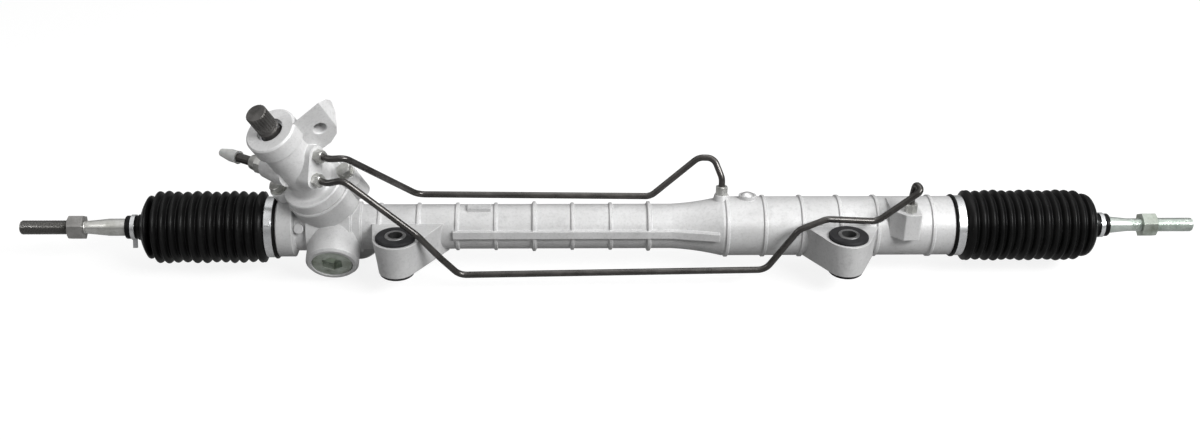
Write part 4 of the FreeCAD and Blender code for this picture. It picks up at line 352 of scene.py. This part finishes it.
def moulded(name, tint):
    """Moulded plastic with a slightly uneven tone and a soft, matt skin."""
    s = Shader(name)
    cloud = s.noise(70.0, 3.0, 0.6)
    skin = s.noise(900.0, 2.0, 0.5)
    normal = s.rounded(PLASTIC_EDGE)
    base = s.mix(s.span(cloud, 0.35, 0.7, 0.0, 1.0), tint, [c * 0.8 for c in tint])
    rough = s.span(cloud, 0.3, 0.7, PLASTIC_ROUGHNESS * 0.85, PLASTIC_ROUGHNESS * 1.25)
    return s.finish(base, 0.0, rough, s.bump(skin, 0.2, 0.0001, normal), Subsurface_Weight=0.03)


MATERIALS = {
    "cast_alloy": cast_alloy("cast_alloy", (0.56, 0.56, 0.56)),
    "tower_alloy": cast_alloy("tower_alloy", (0.75, 0.75, 0.75)),
    "plated_steel": plated("plated_steel", (0.62, 0.62, 0.60), (0.32, 0.32, 0.30), 0.28, 0.85),
    "seal_rubber": black_rubber("seal_rubber"),
    "bearing_steel": plated("bearing_steel", (0.62, 0.63, 0.65), (0.45, 0.46, 0.48), 0.22),
    "spring_steel": plated("spring_steel", (0.78, 0.79, 0.80), (0.6, 0.61, 0.62), 0.25),
    "cap_steel": plated("cap_steel", (0.6, 0.61, 0.6), (0.42, 0.43, 0.42)),
    "yoke_alloy": plated("yoke_alloy", (0.7, 0.71, 0.72), (0.55, 0.56, 0.57), 0.3),
    "liner_plastic": moulded("liner_plastic", (0.78, 0.75, 0.66)),
    "zinc_olive": plated("zinc_olive", (0.46, 0.50, 0.45), (0.20, 0.22, 0.18), 0.36),
    "bush_rubber": black_rubber("bush_rubber", (0.015, 0.015, 0.016), 0.5),
    "sleeve_steel": plated("sleeve_steel", (0.22, 0.22, 0.22), (0.12, 0.12, 0.12), 0.4),
    "plug_steel": plated("plug_steel", (0.75, 0.75, 0.75), (0.6, 0.6, 0.6), 0.3),
    "pipe_black": coated_pipe("pipe_black"),
    "tube_black": coated_pipe("tube_black"),
    "cap_white": moulded("cap_white", (0.9, 0.9, 0.88)),
    "ground_steel": plated("ground_steel", (0.58, 0.59, 0.61), (0.45, 0.46, 0.48), 0.22),
    "shaft_dark": plated("shaft_dark", (0.13, 0.125, 0.12), (0.045, 0.043, 0.041), 0.34, 0.8),
    "forged_steel": plated("forged_steel", (0.3, 0.3, 0.3), (0.18, 0.18, 0.18), 0.45),
    "rod_steel": rod_finish("rod_steel"),
    "nut_steel": plated("nut_steel", (0.30, 0.295, 0.285), (0.17, 0.165, 0.16), 0.4, 0.7),
    "bellows_rubber": black_rubber("bellows_rubber"),
}


def dress(obj, name):
    obj.data.materials.clear()
    obj.data.materials.append(MATERIALS[name])


for part in frame["record"]["subparts"]:
    dress(nodes[part["node"]], part["material_slot"])


# Meshes


def mesh_piece(name, vertices, faces, material, smooth=True):
    mesh = bpy.data.meshes.new(name)
    mesh.from_pydata(vertices, [], faces)
    mesh.update()
    piece = bpy.data.objects.new(name, mesh)
    bpy.context.scene.collection.objects.link(piece)
    bm = bmesh.new()
    bm.from_mesh(mesh)
    bmesh.ops.recalc_face_normals(bm, faces=bm.faces)
    bm.to_mesh(mesh)
    bm.free()
    for polygon in mesh.polygons:
        polygon.use_smooth = smooth
    dress(piece, material)
    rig.slot(piece, material)
    return piece


def along_rack(side, origin=0.0):
    """Places local (across, up, out) on the rack line; out leads away from the housing on that side."""
    def place(across, up, out):
        return (origin + side * out, RACK_Y + across, RACK_Z + up)
    return place


def ring(place, radii, out):
    """A ring of points about the local axis, with a radius for each."""
    points = []
    for step, radius in enumerate(radii):
        angle = 2 * math.pi * step / len(radii)
        points.append(place(radius * math.cos(angle), radius * math.sin(angle), out))
    return points


def ring_faces(rings, steps, closed):
    """Faces from ring to ring; either the last ring joins the first, or both ends are capped."""
    faces = []
    for row in range(rings if closed else rings - 1):
        here, there = row * steps, (row + 1) % rings * steps
        for step in range(steps):
            after = (step + 1) % steps
            faces.append((here + step, here + after, there + after, there + step))
    if not closed:
        faces.append(tuple(range(steps)))
        faces.append(tuple((rings - 1) * steps + step for step in range(steps)))
    return faces


# Bellows

AROUND = 96
BELLOWS_WALL = mm(1.3)
CREST = mm(36.0)
VALLEY = mm(30.4)
SEAT = mm(29.15)
MOUTH = mm(27.35)
LIP = mm(31.5)
LIP_LENGTH = mm(2.2)
SEAT_LENGTH = mm(8.8)
LIP_CHAMFER = mm(0.3)
FOLD_STEPS = 14
# How far a valley's point is rounded, from 0 to 1
VALLEY_ROUNDING = 0.02
# The last valley: how fast it fades to its sides, and how much wider it opens
LAST_VALLEY_FADE = 1.6
LAST_VALLEY_WIDTH = 1.5
LAST_CREST_DROP = mm(4)
LAST_CREST_CURVE = 1.3
# Unevenness of the folds, in height and along the rack: its size, and its change from fold to fold
CREST_UNEVEN, CREST_UNEVEN_RATE = mm(0.5), 1.7
PLACE_UNEVEN, PLACE_UNEVEN_RATE = mm(0.7), 0.9
# The end face is a dome of this many steps in to its foot
DOME_STEPS = 16
DOME_FOOT = mm(18)
CUFF_LENGTH = mm(19)
CUFF_BORE = mm(8.85)
CUFF = mm(11.2)
CUFF_BEAD = mm(11.5)


def fold_outline(first, last, count, last_valley):
    """Folds between the first and the last crest, as (radius, out) pairs: broad crests and sharp valleys.

    They are a little uneven, the last crest is lower and the valley before it has its own depth.
    """
    points = []
    total = (count - 1) * FOLD_STEPS
    for index in range(total + 1):
        phase = index / FOLD_STEPS
        to_end = (total - index) / FOLD_STEPS
        near_end = max(0.0, 1 - abs(to_end - 0.5) * LAST_VALLEY_FADE)
        wave = math.sqrt(math.cos(math.pi * phase) ** 2 * (1 - VALLEY_ROUNDING) + VALLEY_ROUNDING)
        wave **= 1 + LAST_VALLEY_WIDTH * near_end
        crest = CREST - LAST_CREST_DROP * max(0.0, 1 - to_end) ** LAST_CREST_CURVE
        crest -= CREST_UNEVEN * (1 + math.sin(phase * CREST_UNEVEN_RATE))
        valley = VALLEY + (last_valley - VALLEY) * near_end
        drift = PLACE_UNEVEN * math.sin(phase * PLACE_UNEVEN_RATE) * math.sin(math.pi * index / total)
        out = first + (last - first) * index / total + drift
        points.append((valley + wave * (crest - valley), out))
    return points


def dome_outline(crest, last, shoulder, roundness):
    """The end face, from the last crest in to its foot, as (radius, out) pairs."""
    points = [(crest, last)]
    for index in range(1, DOME_STEPS + 1):
        share = index / DOME_STEPS
        angle = math.pi / 2 * share
        drop = roundness * (1 - math.cos(angle)) + (1 - roundness) * share
        reach = roundness * math.sin(angle) + (1 - roundness) * share
        points.append((crest - (crest - DOME_FOOT) * drop, last + shoulder * reach))
    return points


def thicken(outline):
    """Closes an outline into a wall, its inner side parallel to the outer."""
    inner = []
    for index, (radius, out) in enumerate(outline):
        before = outline[max(index - 1, 0)]
        after = outline[min(index + 1, len(outline) - 1)]
        run = Vector((after[0] - before[0], after[1] - before[1]))
        run.normalize()
        inner.append((radius - run.y * BELLOWS_WALL, out + run.x * BELLOWS_WALL))
    return outline + inner[::-1]


def moulding(name, outline, place):
    """A rubber ring, turned from a closed outline of (radius, out) pairs about the local axis."""
    vertices = [point for radius, out in outline for point in ring(place, [radius] * AROUND, out)]
    return mesh_piece(name, vertices, ring_faces(len(outline), AROUND, closed=True), "bellows_rubber")


def make_bellows(side_name, side, mouth, cuff_end, count, setbacks, last_valley, shoulder, roundness, neck,
                 hinge):
    """Bellows in three pieces: its folds follow the rack, its end face and its cuff follow the ball joint.

    mouth and cuff_end are its ends along the rack, and setbacks lie before the first crest and after the
    last. The end face reaches shoulder beyond the last crest, is straight at roundness 0 and domed at 1, and
    bends where its radius falls below hinge. neck is the radius where the cuff leaves it.
    """
    place = along_rack(side)
    seat, rod = side_name + "_seat", side_name + "_rod"

    lip_end = mouth + LIP_LENGTH
    folds_start = lip_end + SEAT_LENGTH
    first = folds_start + setbacks[0]
    last = cuff_end - CUFF_LENGTH - setbacks[1]
    rise = first - folds_start
    mouth_end = [(MOUTH, mouth), (LIP - LIP_CHAMFER, mouth), (LIP, mouth + mm(0.5)),
                 (LIP, lip_end - mm(0.5)), (LIP - LIP_CHAMFER, lip_end), (SEAT, lip_end + mm(0.2)),
                 (SEAT, folds_start - mm(0.5))]
    first_slope = [(SEAT + mm(0.4), folds_start), (VALLEY + mm(4.8), first - rise * 0.52),
                   (CREST - mm(1.1), first - rise * 0.22)]
    folds = first_slope + fold_outline(first, last, count, last_valley)
    inside = [(radius - BELLOWS_WALL, out) for radius, out in reversed(folds)]
    folds_piece = moulding(side_name + "_bellows_folds", mouth_end + folds + inside, place)
    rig.blend(folds_piece, "housing", "rack", place(0, 0, mouth - mm(2)), place(0, 0, last))

    dome = dome_outline(folds[-1][0], last, shoulder, roundness)
    split = next(index for index, point in enumerate(dome) if point[0] < hinge)
    turn = dome[split][1]
    shoulder_piece = moulding(side_name + "_bellows_shoulder", thicken(dome[:split + 1]), place)
    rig.blend(shoulder_piece, "rack", seat, place(0, 0, last), place(0, 0, turn))

    foot = last + shoulder
    face = thicken(dome)
    face_inside = face[len(dome):len(face) - split]
    cuff = [(neck + mm(1.2), foot + mm(1.6)), (neck + mm(0.2), foot + mm(2.4)), (neck, foot + mm(4.5)),
            (CUFF + mm(0.2), foot + mm(5.8)), (CUFF, foot + mm(6.6)), (CUFF, cuff_end - mm(4)),
            (CUFF_BEAD, cuff_end - mm(3.4)), (CUFF_BEAD, cuff_end - mm(0.8)),
            (CUFF_BEAD - mm(0.5), cuff_end), (CUFF_BORE, cuff_end), (CUFF_BORE, foot + mm(2))]
    cuff_piece = moulding(side_name + "_bellows_cuff", dome[split:] + cuff + face_inside, place)
    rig.blend(cuff_piece, seat, rod, place(0, 0, turn), place(0, 0, foot + mm(0.8)))
    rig.replaces(folds_piece, side_name + "_bellows")


make_bellows("left", -1, mouth=mm(338.85), cuff_end=mm(487.7), count=13, setbacks=(mm(4.8), mm(4.4)),
             last_valley=mm(24), shoulder=mm(6.4), roundness=0.2, neck=mm(12.7), hinge=mm(20.5))
make_bellows("right", 1, mouth=mm(331.85), cuff_end=mm(493.5), count=14, setbacks=(mm(6), mm(7)),
             last_valley=mm(28.5), shoulder=mm(8.5), roundness=1.0, neck=mm(11.6), hinge=mm(24.6))


# Tie rods with their threads cut. Places along a rod are measured from the centre of its ball.

ROD_AROUND = 64
BALL = mm(14)
BALL_STEPS = 12
BALL_POLE = mm(0.05)
ROD_NECK = mm(7.5)
ROD_SHANK = mm(8.5)
THREAD_START, THREAD_END = mm(83), mm(148)
THREAD_PITCH = mm(1.5)
THREAD_DEPTH = mm(0.85)
THREAD_STEPS = 8
THREAD_FADE = mm(3)
THREAD_RADIUS = mm(7.0)
UNDER_NUT_RADIUS = mm(6.55)
THREAD_CHAMFER = mm(1.6)
CHAMFER_SLOPE = 0.8
# A groove's profile, from its flat crest to its flat root
GROOVE_SLOPE, GROOVE_CREST = 1.25, 0.12


def shank_outline():
    """Ball, neck and shank up to the thread, as (radius, out) pairs."""
    neck = math.sqrt(BALL ** 2 - ROD_NECK ** 2)
    outline = []
    for index in range(BALL_STEPS + 1):
        angle = -math.pi / 2 + index * (math.pi / 2 + math.asin(neck / BALL)) / BALL_STEPS
        outline.append((max(BALL * math.cos(angle), BALL_POLE), BALL * math.sin(angle)))
    return outline + [(ROD_NECK, neck + mm(2)), (ROD_NECK, neck + mm(9)), (mm(8.2), neck + mm(11.5)),
                      (ROD_SHANK, neck + mm(12)), (ROD_SHANK, mm(62)), (mm(8.2), mm(64)),
                      (mm(6.6), mm(80)), (mm(6.4), mm(82))]


def thread_radii(side, out, nut_end):
    """The rolled thread's radii around the rod, a little thinner under the lock nut."""
    fade = min(1.0, (out - THREAD_START) / THREAD_FADE)
    outer = UNDER_NUT_RADIUS if out < nut_end else THREAD_RADIUS
    outer -= max(0.0, out - (THREAD_END - THREAD_CHAMFER)) * CHAMFER_SLOPE
    radii = []
    for step in range(ROD_AROUND):
        turn = (out / THREAD_PITCH - side * step / ROD_AROUND) % 1.0
        groove = abs(turn - 0.5) * 2 * GROOVE_SLOPE - GROOVE_CREST
        radii.append(outer - THREAD_DEPTH * fade * max(0.0, min(1.0, groove)))
    return radii


def make_tie_rod(side_name, side, ball, nut_end):
    place = along_rack(side, side * ball)
    rings = [ring(place, [radius] * ROD_AROUND, out) for radius, out in shank_outline()]
    rows = int((THREAD_END - THREAD_START) / THREAD_PITCH * THREAD_STEPS)
    for row in range(rows + 1):
        out = THREAD_START + (THREAD_END - THREAD_START) * row / rows
        rings.append(ring(place, thread_radii(side, out, nut_end), out))
    vertices = [point for points in rings for point in points]
    faces = ring_faces(len(rings), ROD_AROUND, closed=False)
    rod = mesh_piece(side_name + "_threaded_rod", vertices, faces, "rod_steel")
    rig.ride(rod, side_name + "_rod")
    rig.replaces(rod, side_name + "_tie_rod")


make_tie_rod("left", -1, ball=mm(443), nut_end=mm(101.5))
make_tie_rod("right", 1, ball=mm(433), nut_end=mm(110))


# Torsion bar

# The stretch that twists, as shares of the way from the lower pin to the upper one
BAR_FREE = (0.1, 0.9)


def centre(node):
    corners = [node.matrix_world @ Vector(corner) for corner in node.bound_box]
    return sum(corners, Vector()) / len(corners)


def make_torsion_bar():
    """The frame's own bar, which twists between its two pins instead of turning whole."""
    solid = nodes["torsion_bar"]
    vertices = [solid.matrix_world @ vertex.co for vertex in solid.data.vertices]
    faces = [tuple(polygon.vertices) for polygon in solid.data.polygons]
    bar = mesh_piece("torsion_bar_twisting", vertices, faces, "spring_steel", smooth=False)
    lower, upper = centre(nodes["torsion_bar_lower_pin"]), centre(nodes["torsion_bar_upper_pin"])
    start, end = (tuple(lower.lerp(upper, share)) for share in BAR_FREE)
    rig.blend(bar, "pinion_shaft", "input", start, end)
    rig.replaces(bar, "torsion_bar")


make_torsion_bar()


# Floor, light and camera

FLOOR_DROP = mm(0.5)
FLOOR_HALF = 14.0
FLOOR_SHADE = 0.2
# How strongly the camera sees floor and world, how strongly reflections see the floor, and the world's light
FLOOR_GLOW = 0.86
FLOOR_IN_METAL = 0.22
WORLD_GLOW = 1.0
WORLD_LIGHT = 0.18
# The world in reflections: dark low down and bright overhead, by the height that the ray points to
HORIZON_IN_METAL, ZENITH_IN_METAL = 0.1, 1.0
HORIZON_HEIGHT, ZENITH_HEIGHT = 0.1, 0.9
# Lamps: place, the point they face, width and height, power
LAMPS = {
    "top": ((0.3, 0.25, 1.5), (0, 0.05, 0.03), (1.8, 0.5), 8),
    "front": ((1.6, -1.5, 1.7), (-0.1, 0.05, 0.03), (1.8, 0.7), 96),
    "left": ((-1.5, -0.5, 0.9), (-0.3, 0.05, 0.05), (0.8, 0.6), 4),
}


def combine(tree, operation, first, second):
    node = tree.nodes.new("ShaderNodeMath")
    node.operation = operation
    for socket, value in zip(node.inputs, (first, second)):
        if isinstance(value, bpy.types.NodeSocket):
            tree.links.new(value, socket)
        else:
            socket.default_value = value
    return node.outputs[0]


def brightness(tree, seen, reflected, otherwise):
    """One strength for the camera, one for reflections and for rays through glass, and one for the rest."""
    path = tree.nodes.new("ShaderNodeLightPath")
    mirrored = combine(tree, "MAXIMUM", path.outputs["Is Glossy Ray"], path.outputs["Is Transmission Ray"])
    total = combine(tree, "MULTIPLY", path.outputs["Is Camera Ray"], seen)
    total = combine(tree, "ADD", total, combine(tree, "MULTIPLY", mirrored, reflected))
    return combine(tree, "MAXIMUM", total, otherwise)


def studio_surface(name):
    """Floor that reads as near white to the camera and darker in reflections, and still takes a shadow."""
    material = bpy.data.materials.new(name)
    material.use_nodes = True
    tree = material.node_tree
    tree.nodes.clear()
    diffuse = tree.nodes.new("ShaderNodeBsdfDiffuse")
    diffuse.inputs["Color"].default_value = (FLOOR_SHADE, FLOOR_SHADE, FLOOR_SHADE, 1)
    glow = tree.nodes.new("ShaderNodeEmission")
    tree.links.new(brightness(tree, FLOOR_GLOW, FLOOR_IN_METAL, 0.0), glow.inputs["Strength"])
    both = tree.nodes.new("ShaderNodeAddShader")
    tree.links.new(diffuse.outputs[0], both.inputs[0])
    tree.links.new(glow.outputs[0], both.inputs[1])
    output = tree.nodes.new("ShaderNodeOutputMaterial")
    tree.links.new(both.outputs[0], output.inputs["Surface"])
    return material


def make_floor():
    low = cad_box[0][2] - FLOOR_DROP
    corners = [(x * FLOOR_HALF, y * FLOOR_HALF, low) for x, y in ((-1, -1), (1, -1), (1, 1), (-1, 1))]
    mesh = bpy.data.meshes.new("floor")
    mesh.from_pydata(corners, [], [(0, 1, 2, 3)])
    floor = bpy.data.objects.new("floor", mesh)
    bpy.context.scene.collection.objects.link(floor)
    mesh.materials.append(studio_surface("floor_white"))
    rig.stage(floor)


def area_light(name, place, aim, size, power):
    data = bpy.data.lights.new(name, "AREA")
    data.shape = "RECTANGLE"
    data.size, data.size_y = size
    data.energy = power
    light = bpy.data.objects.new(name, data)
    bpy.context.scene.collection.objects.link(light)
    light.location = place
    light.rotation_euler = (Vector(aim) - Vector(place)).to_track_quat("-Z", "Y").to_euler()


def make_lights():
    world = bpy.data.worlds.new("studio")
    bpy.context.scene.world = world
    world.use_nodes = True
    tree = world.node_tree
    background = tree.nodes["Background"]
    background.inputs["Color"].default_value = (1.0, 1.0, 1.0, 1)
    direction = tree.nodes.new("ShaderNodeTexCoord")
    parts = tree.nodes.new("ShaderNodeSeparateXYZ")
    tree.links.new(direction.outputs["Generated"], parts.inputs[0])
    sky = tree.nodes.new("ShaderNodeMapRange")
    tree.links.new(parts.outputs["Z"], sky.inputs["Value"])
    heights_to_strengths = (HORIZON_HEIGHT, ZENITH_HEIGHT, HORIZON_IN_METAL, ZENITH_IN_METAL)
    for key, number in zip(MAP_RANGE, heights_to_strengths):
        sky.inputs[key].default_value = number
    strength = brightness(tree, WORLD_GLOW, sky.outputs[0], WORLD_LIGHT)
    tree.links.new(strength, background.inputs["Strength"])
    for name, (place, aim, size, power) in LAMPS.items():
        area_light(name, place, aim, size, power)


def make_camera():
    data = bpy.data.cameras.new("camera")
    data.lens = CAMERA_LENS
    data.sensor_width = CAMERA_SENSOR
    data.sensor_fit = "HORIZONTAL"
    data.clip_start, data.clip_end = CAMERA_CLIP
    camera = bpy.data.objects.new("camera", data)
    bpy.context.scene.collection.objects.link(camera)
    axes = Matrix((CAMERA_RIGHT, CAMERA_UP, CAMERA_BACK)).transposed()
    place = CAMERA_TARGET + CAMERA_BACK * CAMERA_DISTANCE
    camera.matrix_world = Matrix.Translation(place) @ axes.to_4x4()
    bpy.context.scene.camera = camera


make_floor()
make_lights()
make_camera()
bpy.context.scene.view_settings.view_transform = "Standard"

with open("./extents.json", "w") as sizes:
    json.dump({"cad": [list(corner) for corner in cad_box], "visual": [list(corner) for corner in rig.bounds()]}, sizes)
